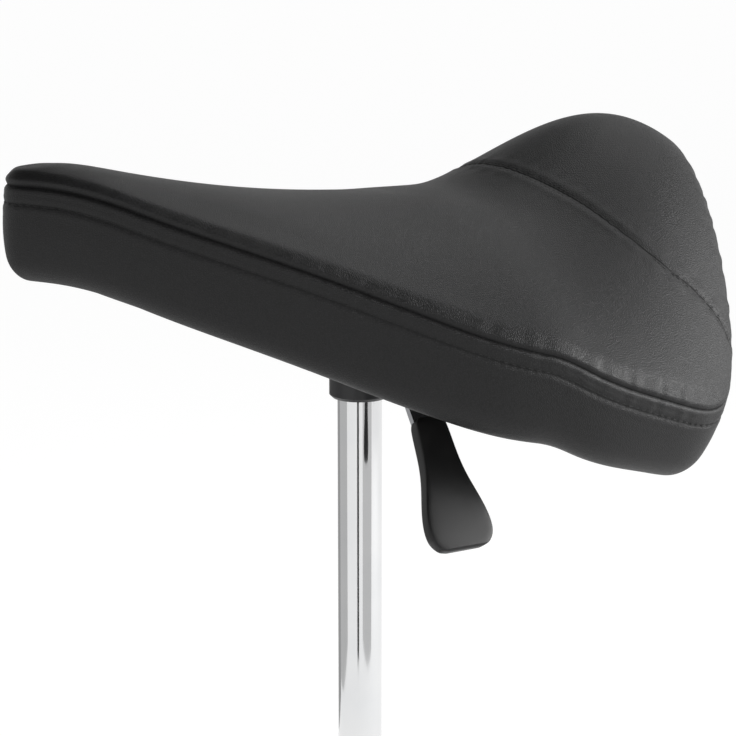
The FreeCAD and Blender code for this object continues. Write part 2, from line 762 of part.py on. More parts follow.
def rounded_section(centre, across, square, width, height, corner):
    """A rounded rectangle of lines and quarter arcs in the plane of two directions."""
    quarter = corner * (1 - math.sqrt(0.5))
    edges = []
    signs = ((1, 1), (-1, 1), (-1, -1), (1, -1))

    def at(u, v):
        return centre.add(Vector(across).multiply(u)).add(Vector(square).multiply(v))

    previous = at(width / 2, -height / 2 + corner)
    for u, v in signs:
        flat_u = u * (width / 2 - corner)
        flat_v = v * (height / 2 - corner)
        to_side = at(u * width / 2, flat_v)
        to_top = at(flat_u, v * height / 2)
        middle = at(u * (width / 2 - quarter), v * (height / 2 - quarter))
        first, last = (to_side, to_top) if u == v else (to_top, to_side)
        edges.append(Part.LineSegment(previous, first).toShape())
        edges.append(Part.Arc(first, middle, last).toShape())
        previous = last
    return Part.Wire(edges)


# Gas lift: the cylinder and what it holds turn and rise with the seat
def build_cylinder():
    """Gas cylinder with its cone, valve, inner tube, end guide and release pin."""
    cylinder = turned(
        (
            (0, CYLINDER_BOTTOM),
            (CYLINDER_RADIUS, CYLINDER_BOTTOM),
            (CYLINDER_RADIUS, SOCKET_BOTTOM),
            (taper_radius(CYLINDER_TOP), CYLINDER_TOP),
            (0, CYLINDER_TOP),
        )
    )
    cylinder = cylinder.cut(tube(CYLINDER_BORE, 0, CYLINDER_BOTTOM, SHOULDER_Z))
    cylinder = cylinder.cut(tube(VALVE_RADIUS, 0, SHOULDER_Z, VALVE_TOP))
    pin_bore = RELEASE_PIN_RADIUS + SLIDING_FIT
    save("gas_cylinder", cylinder.cut(tube(pin_bore, 0, VALVE_TOP, CYLINDER_TOP)))

    pin_bottom = PIN_TOP - RELEASE_PIN_LENGTH
    valve = tube(VALVE_RADIUS, 0, VALVE_TOP - VALVE_LENGTH, VALVE_TOP)
    save("valve_body", valve.cut(tube(pin_bore, 0, pin_bottom - VALVE_WELL, VALVE_TOP)))
    pin = tube(RELEASE_PIN_RADIUS, 0, pin_bottom, PIN_TOP)
    save("release_pin", pin.makeChamfer(PIN_CHAMFER, [pin.Edges[index] for index in bottom_edges(pin, PIN_TOP)]))
    save("inner_tube", tube(INNER_TUBE_RADIUS, INNER_BORE, GUIDE_TOP, SHOULDER_Z))
    save("end_guide", tube(CYLINDER_BORE, ROD_RADIUS + RUNNING_FIT, CYLINDER_BOTTOM, GUIDE_TOP))


def build_rod():
    """Piston rod with its piston and seal, and what hangs it on the floor of the column."""
    piston_radius = INNER_BORE - RUNNING_FIT
    rod_bottom = COLUMN_BOTTOM - ROD_TAIL
    rod = tube(ROD_NECK_RADIUS, 0, rod_bottom, PISTON_TOP).fuse(tube(ROD_RADIUS, 0, UPPER_RACE_TOP, PISTON_BOTTOM))
    clip_top = COLUMN_BOTTOM - SEAT_GAP
    clip_bottom = clip_top - CLIP_THICKNESS
    groove_radius = ROD_NECK_RADIUS - ROD_NECK_GROOVE
    rod = rod.cut(tube(ROD_NECK_RADIUS, groove_radius, clip_bottom, clip_top))
    save("piston_rod", rod)

    groove_bottom = PISTON_BOTTOM + (PISTON_LENGTH - PISTON_GROOVE) / 2
    groove_top = groove_bottom + PISTON_GROOVE
    groove = tube(piston_radius, piston_radius - PISTON_GROOVE_DEPTH, groove_bottom, groove_top)
    save("piston", tube(piston_radius, ROD_NECK_RADIUS, PISTON_BOTTOM, PISTON_TOP).cut(groove))
    save("piston_seal", groove)
    clip = tube(CLIP_RADIUS, groove_radius, clip_bottom, clip_top)
    mouth = box(
        Vector(0, -groove_radius, clip_bottom),
        Vector(CLIP_RADIUS, groove_radius, clip_top),
    )
    save("retaining_clip", clip.cut(mouth))
    save("bearing_race_upper", tube(BEARING_RADIUS, ROD_NECK_RADIUS, UPPER_RACE_BOTTOM, UPPER_RACE_TOP))
    save("rubber_buffer", tube(BUFFER_RADIUS, ROD_RADIUS, UPPER_RACE_TOP, BUFFER_TOP))


def column_profile(inset):
    """Half outline of the column wall, moved inwards by an inset."""
    foot = COLUMN_RADIUS - COLUMN_CONE_NARROWING - inset
    straight = COLUMN_RADIUS - inset
    return ((foot, COLUMN_BOTTOM), (straight, COLUMN_BOTTOM + COLUMN_CONE_LENGTH), (straight, COLUMN_TOP))


def build_column():
    """Outer column with its floor, guide bush and thrust bearing."""
    outside = column_profile(0.0)
    inside = column_profile(COLUMN_WALL)
    wall = turned(outside + inside[::-1])
    hole = ROD_NECK_RADIUS + FREE_GAP
    floor_radius = COLUMN_RADIUS - COLUMN_CONE_NARROWING - COLUMN_WALL / 2
    floor = tube(floor_radius, hole, COLUMN_BOTTOM, FLOOR_TOP)
    save("column_tube", wall.fuse(floor).removeSplitter())

    bore = CYLINDER_RADIUS + RUNNING_FIT
    bush = tube(COLUMN_RADIUS - COLUMN_WALL, bore, COLUMN_TOP - BUSH_LENGTH, COLUMN_TOP)
    lip = tube(BUSH_LIP_RADIUS, bore, COLUMN_TOP, COLUMN_TOP + BUSH_LIP)
    lip = lip.makeChamfer(BUSH_LIP / 3, [lip.Edges[index] for index in bottom_edges(lip, COLUMN_TOP + BUSH_LIP)][:1])
    save("guide_bush", bush.fuse(lip).removeSplitter())

    save("bearing_race_lower", tube(BEARING_RADIUS, hole, FLOOR_TOP, LOWER_RACE_TOP))
    balls = []
    for number in range(BALL_COUNT):
        angle = 2 * math.pi * number / BALL_COUNT
        place = Vector(BALL_PITCH_RADIUS * math.cos(angle), BALL_PITCH_RADIUS * math.sin(angle), 0)
        place.z = LOWER_RACE_TOP + BALL_GAP + BALL_RADIUS
        balls.append(Part.makeSphere(BALL_RADIUS, place))
    save("bearing_balls", Part.makeCompound(balls))


# Five-star base
def leg_angles():
    """Directions of the legs, the first one under the nose."""
    return [360 / LEG_COUNT * number - 90 for number in range(LEG_COUNT)]


def leg_section(reach, width, top, depth, inset):
    """Corners of the section across a leg: sloped shoulders above, upright sides below."""
    half = width / 2 - inset
    high = top - inset
    low = top - depth - (LEG_WALL if inset else 0)
    corner = LEG_EDGE_SHARE * width
    right = [Vector(reach, half, low), Vector(reach, half, high - corner), Vector(reach, half - corner, high)]
    left = [Vector(reach, -point.y, point.z) for point in reversed(right)]
    return right + left


def leg(inset, start, end):
    """One leg along +X, from the hub to the castor boss."""
    root = leg_section(start, LEG_ROOT_WIDTH, LEG_ROOT_TOP, LEG_ROOT_DEPTH, inset)
    tip = leg_section(end, LEG_TIP_WIDTH, LEG_TIP_TOP, LEG_TIP_DEPTH, inset)
    return solid_through([root, tip]).removeSplitter()


def build_base():
    """Cast base: a hub with a tapered bore and five hollow legs that end in castor bosses."""
    hub = turned(
        (
            (0, HUB_BOTTOM),
            (HUB_RADIUS - HUB_EDGE, HUB_BOTTOM),
            (HUB_RADIUS, HUB_BOTTOM + HUB_EDGE),
            (HUB_RADIUS, LEG_ROOT_TOP),
            (HUB_RADIUS - HUB_EDGE, HUB_TOP),
            (0, HUB_TOP),
        )
    )
    base = hub
    outer = leg(0.0, 0.0, LEG_REACH)
    hollow = leg(LEG_WALL, HUB_RADIUS - LEG_WALL, LEG_REACH)
    boss = tube(LEG_BOSS_RADIUS, 0, LEG_UNDERSIDE, LEG_TIP_TOP, LEG_REACH, 0)
    boss = boss.makeFillet(HUB_EDGE, [boss.Edges[index] for index in bottom_edges(boss, LEG_TIP_TOP)])
    bore = tube(STEM_RADIUS, 0, LEG_UNDERSIDE, LEG_UNDERSIDE + STEM_LENGTH, LEG_REACH, 0)
    for angle in leg_angles():
        base = base.fuse(turned_by(outer, angle))
    for angle in leg_angles():
        base = base.cut(turned_by(hollow, angle))
    for angle in leg_angles():
        base = base.fuse(turned_by(boss, angle))
    base = base.fuse(tube(HUB_RADIUS - HUB_EDGE, 0, HUB_BOTTOM, LEG_ROOT_TOP))
    for angle in leg_angles():
        base = base.cut(turned_by(bore, angle))
    foot = COLUMN_RADIUS - COLUMN_CONE_NARROWING
    slope = COLUMN_CONE_NARROWING / COLUMN_CONE_LENGTH
    low = foot + slope * (HUB_BOTTOM - COLUMN_BOTTOM)
    cone_top = COLUMN_BOTTOM + COLUMN_CONE_LENGTH
    bore_cone = Part.makeCone(low, COLUMN_RADIUS, cone_top - HUB_BOTTOM, Vector(0, 0, HUB_BOTTOM), UP)
    bore_neck = tube(COLUMN_RADIUS, 0, cone_top, HUB_TOP)
    save("star_base", base.cut(bore_cone).cut(bore_neck).removeSplitter())


# Castors
def castor_place(number):
    """Plan place of a castor stem and the direction in which its wheels trail."""
    angle = math.radians(leg_angles()[number])
    place = Vector(LEG_REACH * math.cos(angle), LEG_REACH * math.sin(angle), 0)
    return place, leg_angles()[number] + CASTOR_HEADINGS[number]


def turned_on_axle(profile, degrees=360):
    """A (radius, side) profile turned round the axle, which lies along Y at the height of the wheels."""
    points = [Vector(radius, side, WHEEL_RADIUS) for radius, side in profile]
    face = Part.Face(Part.makePolygon(points + [points[0]]))
    return face.revolve(Vector(0, 0, WHEEL_RADIUS), Vector(0, -1, 0), degrees)


def castor_pieces():
    """Hood, axle and wheels of one castor, with the axle on the Z axis and the stem ahead on +X."""
    inner = CASTOR_WEB / 2 + WHEEL_SIDE_GAP
    outer = inner + WHEEL_WIDTH
    bore = AXLE_RADIUS + RUNNING_FIT
    wheel = turned_on_axle(
        (
            (bore, inner),
            (WHEEL_RADIUS - WHEEL_SHOULDER, inner),
            (WHEEL_RADIUS, inner + WHEEL_SHOULDER),
            (WHEEL_RADIUS, outer - WHEEL_SHOULDER),
            (WHEEL_RADIUS - WHEEL_SHOULDER, outer),
            (WHEEL_DISH_RADIUS, outer),
            (WHEEL_DISH_RADIUS - WHEEL_SHOULDER, outer - WHEEL_DISH_DEPTH),
            (bore, outer - WHEEL_DISH_DEPTH),
        )
    )
    other = wheel.mirror(Vector(0, 0, 0), Vector(0, 1, 0))
    axle_half = outer - WHEEL_DISH_DEPTH - AXLE_CAP_SINK
    axle = Part.makeCylinder(AXLE_RADIUS, 2 * axle_half, Vector(0, -axle_half, WHEEL_RADIUS), Vector(0, 1, 0))

    pocket = WHEEL_RADIUS + HOOD_GAP
    shell = pocket + HOOD_WALL
    edge = outer - HOOD_WALL
    canopy = turned_on_axle(
        ((pocket, -outer), (shell - HOOD_WALL / 2, -outer), (shell, -edge), (shell, edge),
         (shell - HOOD_WALL / 2, outer), (pocket, outer)),
        180,
    )
    web = Part.makeCylinder(pocket, CASTOR_WEB, Vector(0, -CASTOR_WEB / 2, WHEEL_RADIUS), Vector(0, 1, 0))
    web = web.cut(box(Vector(-shell, -outer, -shell), Vector(shell, outer, WHEEL_RADIUS - 2 * AXLE_RADIUS)))
    hood_top = LEG_UNDERSIDE - STEM_COLLAR - SEAT_GAP
    boss = tube(STEM_BOSS_RADIUS, 0, hood_top - STEM_BOSS_DEPTH, hood_top, CASTOR_TRAIL, 0)
    for side in (-1, 1):
        start = Vector(0, side * (CASTOR_WEB / 2), WHEEL_RADIUS)
        boss = boss.cut(Part.makeCylinder(pocket, outer, start, Vector(0, side, 0)))
    hood = canopy.fuse(web).fuse(boss)
    sink = LEG_UNDERSIDE - STEM_SINK - SEAT_GAP
    hood = hood.cut(tube(STEM_RADIUS + RUNNING_FIT, 0, sink, hood_top, CASTOR_TRAIL, 0))
    return hood.cut(axle).removeSplitter(), axle, wheel, other


def build_castors():
    """Five castors at the ends of the legs, with their stems fixed in the legs."""
    hood, axle, wheel, other = castor_pieces()
    stems = []
    names = ("hood", "axle", "wheel_left", "wheel_right")
    for number in range(LEG_COUNT):
        place, heading = castor_place(number)
        stem = tube(STEM_RADIUS, 0, LEG_UNDERSIDE - STEM_SINK, LEG_UNDERSIDE + STEM_LENGTH, place.x, place.y)
        collar = tube(STEM_COLLAR_RADIUS, 0, LEG_UNDERSIDE - STEM_COLLAR, LEG_UNDERSIDE, place.x, place.y)
        stems.append(stem.fuse(collar).removeSplitter())
        for name, piece in zip(names, (hood, axle, wheel, other)):
            carried = moved_to(piece, Vector(-CASTOR_TRAIL, 0, 0))
            carried = moved_to(turned_by(carried, heading), place)
            save("castor_%d_%s" % (number + 1, name), carried)
    save("castor_stems", Part.makeCompound(stems))


os.makedirs("parts", exist_ok=True)
build_cover()
build_foam()
build_pan()
build_dust_cover()
build_plate()
build_socket()
build_fasteners()
build_lever()
build_cylinder()
build_rod()
build_column()
build_base()
build_castors()
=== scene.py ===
# %% [markdown]
# Saddle stool: an arched leatherette saddle on a chromed gas lift, with a paddle lever, a star base and castors.
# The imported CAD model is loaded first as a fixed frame. Rigid pieces whose shape is right keep their CAD mesh and
# get a finish, and the soft saddle, the chromed cylinder and the paddle are modelled here in full.

# %% Load the frame
import bpy
import math
import numpy as np
from mathutils import Matrix, Vector
from mathutils.bvhtree import BVHTree


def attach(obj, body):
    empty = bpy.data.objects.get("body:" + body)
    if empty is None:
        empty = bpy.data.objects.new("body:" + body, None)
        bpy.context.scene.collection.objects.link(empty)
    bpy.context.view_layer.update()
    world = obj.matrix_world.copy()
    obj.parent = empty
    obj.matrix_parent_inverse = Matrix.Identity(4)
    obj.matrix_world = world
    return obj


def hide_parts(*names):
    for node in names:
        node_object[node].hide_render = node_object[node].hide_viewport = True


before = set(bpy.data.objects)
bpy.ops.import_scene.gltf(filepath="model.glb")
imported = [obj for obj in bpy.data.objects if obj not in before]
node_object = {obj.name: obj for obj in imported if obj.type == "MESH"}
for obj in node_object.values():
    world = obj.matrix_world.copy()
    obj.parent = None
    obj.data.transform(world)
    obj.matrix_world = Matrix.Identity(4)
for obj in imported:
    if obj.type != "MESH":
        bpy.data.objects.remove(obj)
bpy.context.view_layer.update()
MM = 0.001


# %% [markdown]
# Every operator acts on whatever is selected, so each step first clears the selection and then picks one piece.

# %% Helpers for picking pieces
def pick_none():
    """Leave object mode with nothing selected."""
    if bpy.context.object is not None and bpy.context.object.mode != "OBJECT":
        bpy.ops.object.mode_set(mode="OBJECT")
    bpy.ops.object.select_all(action="DESELECT")


def pick(*pieces):
    """Select only these pieces; the first is the active one."""
    pick_none()
    for piece in pieces:
        piece.select_set(True)
    bpy.context.view_layer.objects.active = pieces[0]


def settle(piece):
    """Move the piece's place into its mesh, so the object sits at the origin."""
    pick(piece)
    bpy.ops.object.transform_apply(location=True, rotation=True, scale=True)


def apply_all(piece):
    """Apply each modifier in turn."""
    pick(piece)
    for modifier in list(piece.modifiers):
        bpy.ops.object.modifier_apply(modifier=modifier.name)


def edit_top_face(piece):
    """Enter edit mode with only the faces that look up selected."""
    bpy.ops.object.mode_set(mode="EDIT")
    bpy.ops.mesh.select_all(action="DESELECT")
    bpy.ops.object.mode_set(mode="OBJECT")
    for face in piece.data.polygons:
        face.select = face.normal.z > 0.9
    bpy.ops.object.mode_set(mode="EDIT")
    bpy.ops.mesh.select_mode(type="FACE")


print("helpers ready")

# %% [markdown]
# The saddle's outline is the seam round its edge. It was measured on the photograph and on the usual size of such
# seats, as a few points joined by one smooth closed curve. The same numbers drive the CAD, so both agree.

# %% Edge seam in plan, in millimetres
SEAM_PLAN = [(0, -226), (26, -208), (47, -182), (77, -133), (101, -88), (124, -43), (147, 5), (162, 57),
             (166, 108), (158, 158), (114, 197), (55, 221), (0, 233)]
AROUND = 224
CENTRE = np.array([0.0, 20.0])


def evenly(path, count, closed=False):
    """Points at even steps along a dense path."""
    if closed:
        path = np.vstack([path, path[:1]])
    steps = np.linalg.norm(np.diff(path, axis=0), axis=1)
    reach = np.concatenate([[0], np.cumsum(steps)])
    places = np.linspace(0, reach[-1], count, endpoint=not closed)
    return np.column_stack([np.interp(places, reach, path[:, axis]) for axis in range(path.shape[1])])


def smooth_loop(points):
    """Dense points of the smooth closed curve through the given ones."""
    knots = np.array(points, float)
    count = len(knots)
    chords = np.linalg.norm(np.roll(knots, -1, axis=0) - knots, axis=1)
    matrix = np.zeros((count, count))
    pull = np.zeros((count, 2))
    for here in range(count):
        before, after, there = chords[here - 1], chords[here], (here + 1) % count
        matrix[here, here - 1] += before
        matrix[here, here] += 2 * (before + after)
        matrix[here, there] += after
        pull[here] = 6 * ((knots[there] - knots[here]) / after - (knots[here] - knots[here - 1]) / before)
    bends = np.linalg.solve(matrix, pull)
    dense = []
    for here in range(count):
        there, chord = (here + 1) % count, chords[here]
        run = np.linspace(0, chord, 120, endpoint=False)[:, None]
        dense.append(bends[here] * (chord - run) ** 3 / (6 * chord) + bends[there] * run ** 3 / (6 * chord)
                     + (knots[here] / chord - bends[here] * chord / 6) * (chord - run)
                     + (knots[there] / chord - bends[there] * chord / 6) * run)
    return np.vstack(dense)


mirrored = [(-x, y) for x, y in reversed(SEAM_PLAN[1:-1])]
seam_dense = smooth_loop(SEAM_PLAN + mirrored)
seam = evenly(seam_dense, AROUND, closed=True)
print("seam length in mm:", round(np.linalg.norm(np.diff(seam, axis=0), axis=1).sum()))

# %% [markdown]
# The top is a height over the plan: a centre line that dips for the sitter and rises to the nose and the cantle,
# and an arch that falls away to both sides, more steeply towards the rear wings.

# %% Height of the saddle
SEAT_LEVEL = 577.0
EDGE_ROLL = 7.0
PILLOW, PILLOW_RUN = 1.5, 60.0


def ridge_height(y):
    """Centre line: dip, raised nose and high cantle."""
    height = 124.3 + 43.7 * (np.clip(14 - y, 0, None) / 251) ** 1.93
    height -= 13 * (np.clip(-175 - y, 0, None) / 50) ** 2
    rise = np.clip((y - 55) / (181.5 - 55), 0, 1)
    height += 39.5 * rise * rise * (3 - 2 * rise)
    return height - 14.8 * (np.clip(y - 181.5, 0, None) / 46) ** 2


def arch_fall(x, y):
    """Fall of the arch beside the centre line."""
    fall = 28.5 + 21 * (np.clip(-60 - y, 0, None) / 140) ** 2.7 + 47.5 * (np.clip(y - 33, 0, None) / 165) ** 1.54
    return fall * (x / 100) ** 2


def top_surface(plan, inside):
    """Points of the top over plan points that lie a distance inside the seam."""
    roll = np.clip(1 - inside / EDGE_ROLL, 0, 1)
    edge = PILLOW * np.clip(1 - inside / PILLOW_RUN, 0, 1) ** 2 + EDGE_ROLL * (1 - np.sqrt(1 - roll * roll))
    height = SEAT_LEVEL + ridge_height(plan[:, 1]) - arch_fall(plan[:, 0], plan[:, 1]) - edge
    return np.column_stack([plan, height])


seam_line = top_surface(seam, np.zeros(AROUND))
print("seam height in mm:", seam_line[:, 2].min().round(), "to", seam_line[:, 2].max().round())

# %% [markdown]
# Below the seam the side band leans in, bulges a little and turns round the edge of the plywood pan as a hem.

# %% Side band, hem and pan
COVER, PAD_GAP, FOOT = 1.6, 0.7, 13.4
PAN_LEVEL = SEAT_LEVEL + 56
angle_round = np.arctan2(abs(seam[:, 0]), CENTRE[1] - seam[:, 1])
along_plan = np.roll(seam, -1, axis=0) - np.roll(seam, 1, axis=0)
outward = np.column_stack([along_plan[:, 1], -along_plan[:, 0]])
outward /= np.linalg.norm(outward, axis=1)[:, None]


def round_the_side(nose, middle, rear):
    """A value that runs smoothly from the nose past the side to the rear."""
    sway = (nose + rear - 2 * middle) / 4
    return middle + sway + (nose - rear) / 2 * np.cos(angle_round) + sway * np.cos(2 * angle_round)


side_height = round_the_side(54.8, 56.2, 33.0)
side_lean = round_the_side(5.2, 11.4, 32.0)


def side_ring(share):
    """One ring of the side, from the seam (0) down to the hem (1)."""
    hem = np.clip((share - 0.75) / 0.25, 0, 1)
    out = 5.1 * np.sin(0.8 * np.pi * share) - side_lean * share - 10.5 * (1 - np.sqrt(1 - hem * hem))
    ring = seam_line.copy()
    ring[:, :2] += outward * out[:, None]
    ring[:, 2] -= side_height * share
    return ring


def inwards(ring, back, depth):
    """A ring moved square to the skin; the ring called back lies towards the crown."""
    along = np.roll(ring, -1, axis=0) - np.roll(ring, 1, axis=0)
    across = np.cross(back - ring, along)
    return ring + across / np.linalg.norm(across, axis=1)[:, None] * depth


def side_inside(share, depth):
    """A side ring, a depth inside the skin."""
    return inwards(side_ring(share), side_ring(share - 0.01), depth)


pan_edge = side_inside(np.ones(AROUND), COVER + PAD_GAP)
reach = np.linalg.norm(pan_edge[:, :2] - CENTRE, axis=1)
LEVEL_WIDE, LEVEL_LONG = 66, 92
shifted = CENTRE[1] / LEVEL_LONG
step = np.column_stack([pan_edge[:, 0] / LEVEL_WIDE, (pan_edge[:, 1] - CENTRE[1]) / LEVEL_LONG])
square, half = (step ** 2).sum(axis=1), shifted * step[:, 1]
flat = (np.sqrt(half ** 2 + square * (1 - shifted ** 2)) - half) / square


def pan_ring(place):
    """Underside of the pan: 0 to 1 level middle, 1 to 2 slope, 2 to 3 above the hem."""
    hem = 1 - 20 / reach
    if place < 1:
        share = flat * place
    elif place < 2:
        share = flat + (hem - flat) * (place - 1)
    else:
        share = hem + (1 - hem) * (place - 2)
    fall = np.clip((share - flat) / (1 - flat), 0, 1)
    fall = fall * fall * (3 - 2 * fall)
    plan = CENTRE + (pan_edge[:, :2] - CENTRE) * share[:, None]
    return np.column_stack([plan, PAN_LEVEL + (pan_edge[:, 2] - PAN_LEVEL) * fall])


def pan_inside(place, depth):
    """A ring of the pan's underside moved into the pan, or out of it with a negative depth."""
    return inwards(pan_ring(place), pan_ring(place + 0.01), depth)


print("pan edge from", pan_edge[:, 2].min().round(), "to", pan_edge[:, 2].max().round())

# %% [markdown]
# The cushion is one closed mesh. Its top is a square grid whose rings are pulled onto copies of the seam, so there
# is no pole in the middle of the seat. The rings crowd together at the edge roll, where the surface bends most.

# %% Grid of the top
RINGS = 28
EDGE_INSIDES = [13, 9, 6.4, 4.7, 3.3, 2.2, 1.3, 0.6, 0]
PLAIN_RINGS = RINGS - len(EDGE_INSIDES)


def ring_place(ring, around):
    """Plan point and distance inside the seam for a place round one ring of the grid."""
    at = around / max(8 * ring, 1) * AROUND
    low = int(at) % AROUND
    rim = seam[low] + (seam[(low + 1) % AROUND] - seam[low]) * (at - int(at))
    length = np.linalg.norm(rim - CENTRE)
    if ring <= PLAIN_RINGS:
        share = (1 - 20 / length) * ring / PLAIN_RINGS
    else:
        share = 1 - EDGE_INSIDES[ring - PLAIN_RINGS - 1] / length
    return CENTRE + (rim - CENTRE) * share, length * (1 - share)


def place_on_ring(i, j):
    """Ring of the grid point, and its place round the ring from the nose."""
    ring = max(abs(i), abs(j))
    if ring == 0:
        return 0, 0
    if j == -ring and i >= 0:
        return ring, i
    if i == ring:
        return ring, 2 * ring + j
    if j == ring:
        return ring, 4 * ring - i
    if i == -ring:
        return ring, 6 * ring - j
    return ring, 8 * ring + i


plan_points, insides = [], []
for j in range(-RINGS, RINGS + 1):
    for i in range(-RINGS, RINGS + 1):
        plan_point, inside = ring_place(*place_on_ring(i, j))
        plan_points.append(plan_point)
        insides.append(inside)
grid = top_surface(np.array(plan_points), np.array(insides))
SIDE = 2 * RINGS + 1
faces = []
for j in range(SIDE - 1):
    for i in range(SIDE - 1):
        corner = j * SIDE + i
        faces.append((corner, corner + 1, corner + SIDE + 1, corner + SIDE))
rim_index = [0] * AROUND
for j in range(-RINGS, RINGS + 1):
    for i in range(-RINGS, RINGS + 1):
        ring, around = place_on_ring(i, j)
        if ring == RINGS:
            rim_index[around % AROUND] = (j + RINGS) * SIDE + i + RINGS
print("top grid:", len(grid), "points")

# %% [markdown]
# Rings go on from the seam down the side, under the pan as the hem, back round the rim of the pan and over its top
# to the middle, where the last ring closes. The foam fills the space between.

# %% Closed cushion mesh
side_shares = [0.02, 0.06, 0.12, 0.2, 0.3, 0.4, 0.5, 0.6, 0.69, 0.75]
side_shares += [1 - 0.25 * (1 - math.sin(math.pi / 2 * turn / 6)) for turn in range(1, 7)]
lower_rings = [side_ring(np.full(AROUND, share)) for share in side_shares]
lower_rings += [pan_inside(place, -PAD_GAP - COVER) for place in (2.75, 2.4, 2.0)]
hem_ring = len(side_shares) + 2
lower_rings += [pan_inside(place, -PAD_GAP) for place in (2.0, 2.4, 2.75)]
lower_rings += [side_inside(np.full(AROUND, share), COVER) for share in (1.0, 0.97, 0.9)]
lower_rings.append(side_inside(1 - FOOT / side_height, COVER + PAD_GAP))
lower_rings += [pan_inside(place, FOOT) for place in (2.6, 2.2, 1.8, 1.4, 1.0, 0.6, 0.2)]
points = [grid]
upper = rim_index
for ring in lower_rings:
    start = sum(len(part) for part in points)
    lower = list(range(start, start + AROUND))
    points.append(ring)
    for here in range(AROUND):
        there = (here + 1) % AROUND
        faces.append((upper[here], lower[here], lower[there], upper[there]))
    upper = lower
middle = sum(len(part) for part in points)
points.append(lower_rings[-1].mean(axis=0)[None, :])
faces += [(upper[here], middle, upper[(here + 1) % AROUND]) for here in range(AROUND)]
points = np.vstack(points)
mesh = bpy.data.meshes.new("saddle_cushion")
mesh.from_pydata((points * MM).tolist(), [], faces)
mesh.validate()
cushion = bpy.data.objects.new("saddle_cushion", mesh)
bpy.context.scene.collection.objects.link(cushion)
print("cushion:", len(points), "points", len(faces), "faces")

# %% [markdown]
# The cross seam joins the front panel to the rear one. It runs over the back of the seat and down to the edge seam
# on each side. Distances to both seams steer the pinning, the grooves and the finish.

# %% Seam lines in space
CROSS_PLAN = [(0, 98), (27, 99), (54, 105), (74, 113), (92, 122), (106, 133), (117, 146), (124, 162.5), (130, 177),
              (136, 184)]


def smooth_row(points, passes=3):
    """A row of points with its corners cut again and again."""
    row = np.array(points, float)
    for _ in range(passes):
        near = row[:-1] * 0.75 + row[1:] * 0.25
        far = row[:-1] * 0.25 + row[1:] * 0.75
        row = np.vstack([row[:1], np.stack([near, far], axis=1).reshape(-1, 2), row[-1:]])
    return row


cross_plan = evenly(smooth_row([(-x, y) for x, y in reversed(CROSS_PLAN[1:])] + CROSS_PLAN), 400)
to_seam = np.array([np.linalg.norm(seam_dense - point, axis=1).min() for point in cross_plan])
cross_line = top_surface(cross_plan, to_seam)
fine_seam = evenly(seam_dense, 1280, closed=True)
edge_line = top_surface(fine_seam, np.zeros(len(fine_seam)))


def nearest_on(line, places):
    """Distance from each place to the line, and the number of the nearest point of the line."""
    distance, nearest = np.empty(len(places)), np.empty(len(places), int)
    for start in range(0, len(places), 4000):
        gaps = np.linalg.norm(places[start:start + 4000, None, :] - line[None, :, :], axis=2)
        nearest[start:start + 4000] = gaps.argmin(axis=1)
        distance[start:start + 4000] = gaps.min(axis=1)
    return distance, nearest


edge_steps = np.concatenate([[0], np.cumsum(np.linalg.norm(np.diff(edge_line, axis=0), axis=1))])
cross_steps = np.concatenate([[0], np.cumsum(np.linalg.norm(np.diff(cross_line, axis=0), axis=1))])
print("edge seam", edge_steps[-1].round(), "mm, cross seam", cross_steps[-1].round(), "mm")

# %% [markdown]
# Padding is best made by a cloth simulation: air pressure swells the cover, while seams, hem and underside are
# pinned. The swelling is capped, because a moulded foam saddle is full and taut, not a balloon.

# %% Swell the cover
SWELL_CAP, AIR_PRESSURE, LAST_FRAME = 2.2, 4, 20
rest = points.copy()
edge_gap, _ = nearest_on(edge_line, rest)
cross_gap, _ = nearest_on(cross_line, rest)
free = np.clip((edge_gap - 3) / 30, 0, 1) * np.clip((cross_gap - 3) / 22, 0, 1)
free[middle - AROUND * (len(lower_rings) - hem_ring + 2):] = 0
hem_start = len(grid) + AROUND * 9
free[hem_start:] = 0
free[len(grid):hem_start] = np.clip((edge_gap[len(grid):hem_start] - 11) / 12, 0, 1)
pins = cushion.vertex_groups.new(name="pins")
for number, loose in enumerate(free):
    pins.add([number], float(1 - 0.9 * loose), "REPLACE")
pick(cushion)
bpy.ops.object.modifier_add(type="CLOTH")
cloth = cushion.modifiers[-1]
cloth.settings.use_pressure = True
cloth.settings.uniform_pressure_force = AIR_PRESSURE
cloth.settings.effector_weights.gravity = 0
cloth.settings.vertex_group_mass = "pins"
cloth.settings.quality = 4
cloth.point_cache.frame_end = LAST_FRAME
for number in range(1, LAST_FRAME + 1):
    bpy.context.scene.frame_set(number)
bpy.ops.object.modifier_apply(modifier=cloth.name)
swollen = np.array([vertex.co for vertex in cushion.data.vertices]) / MM
shift = swollen - rest
length = np.linalg.norm(shift, axis=1)
shift *= (np.minimum(length, SWELL_CAP * free) / np.maximum(length, 1e-9))[:, None]
cushion.data.vertices.foreach_set("co", ((rest + shift) * MM).ravel())
cushion.vertex_groups.clear()
bpy.context.scene.frame_set(1)
print("swelling in mm: mean", np.linalg.norm(shift, axis=1).mean().round(2), "capped at", SWELL_CAP)

# %% [markdown]
# Two subdivisions give enough points for the sewn detail: the joint at the edge, the topstitch furrow 10 mm below
# it, the cross seam with a stitch row on each side, and the small puckers where the cover is drawn round the rear.

# %% Subdivide the cushion
pick(cushion)
bpy.ops.object.modifier_add(type="SUBSURF")
cushion.modifiers[-1].levels = 2
cushion.modifiers[-1].render_levels = 2
apply_all(cushion)
count = len(cushion.data.vertices)
place = np.empty(count * 3)
cushion.data.vertices.foreach_get("co", place)
place = place.reshape(-1, 3) / MM
normal = np.empty(count * 3)
cushion.data.vertices.foreach_get("normal", normal)
normal = normal.reshape(-1, 3)
print("fine cushion:", count, "points")

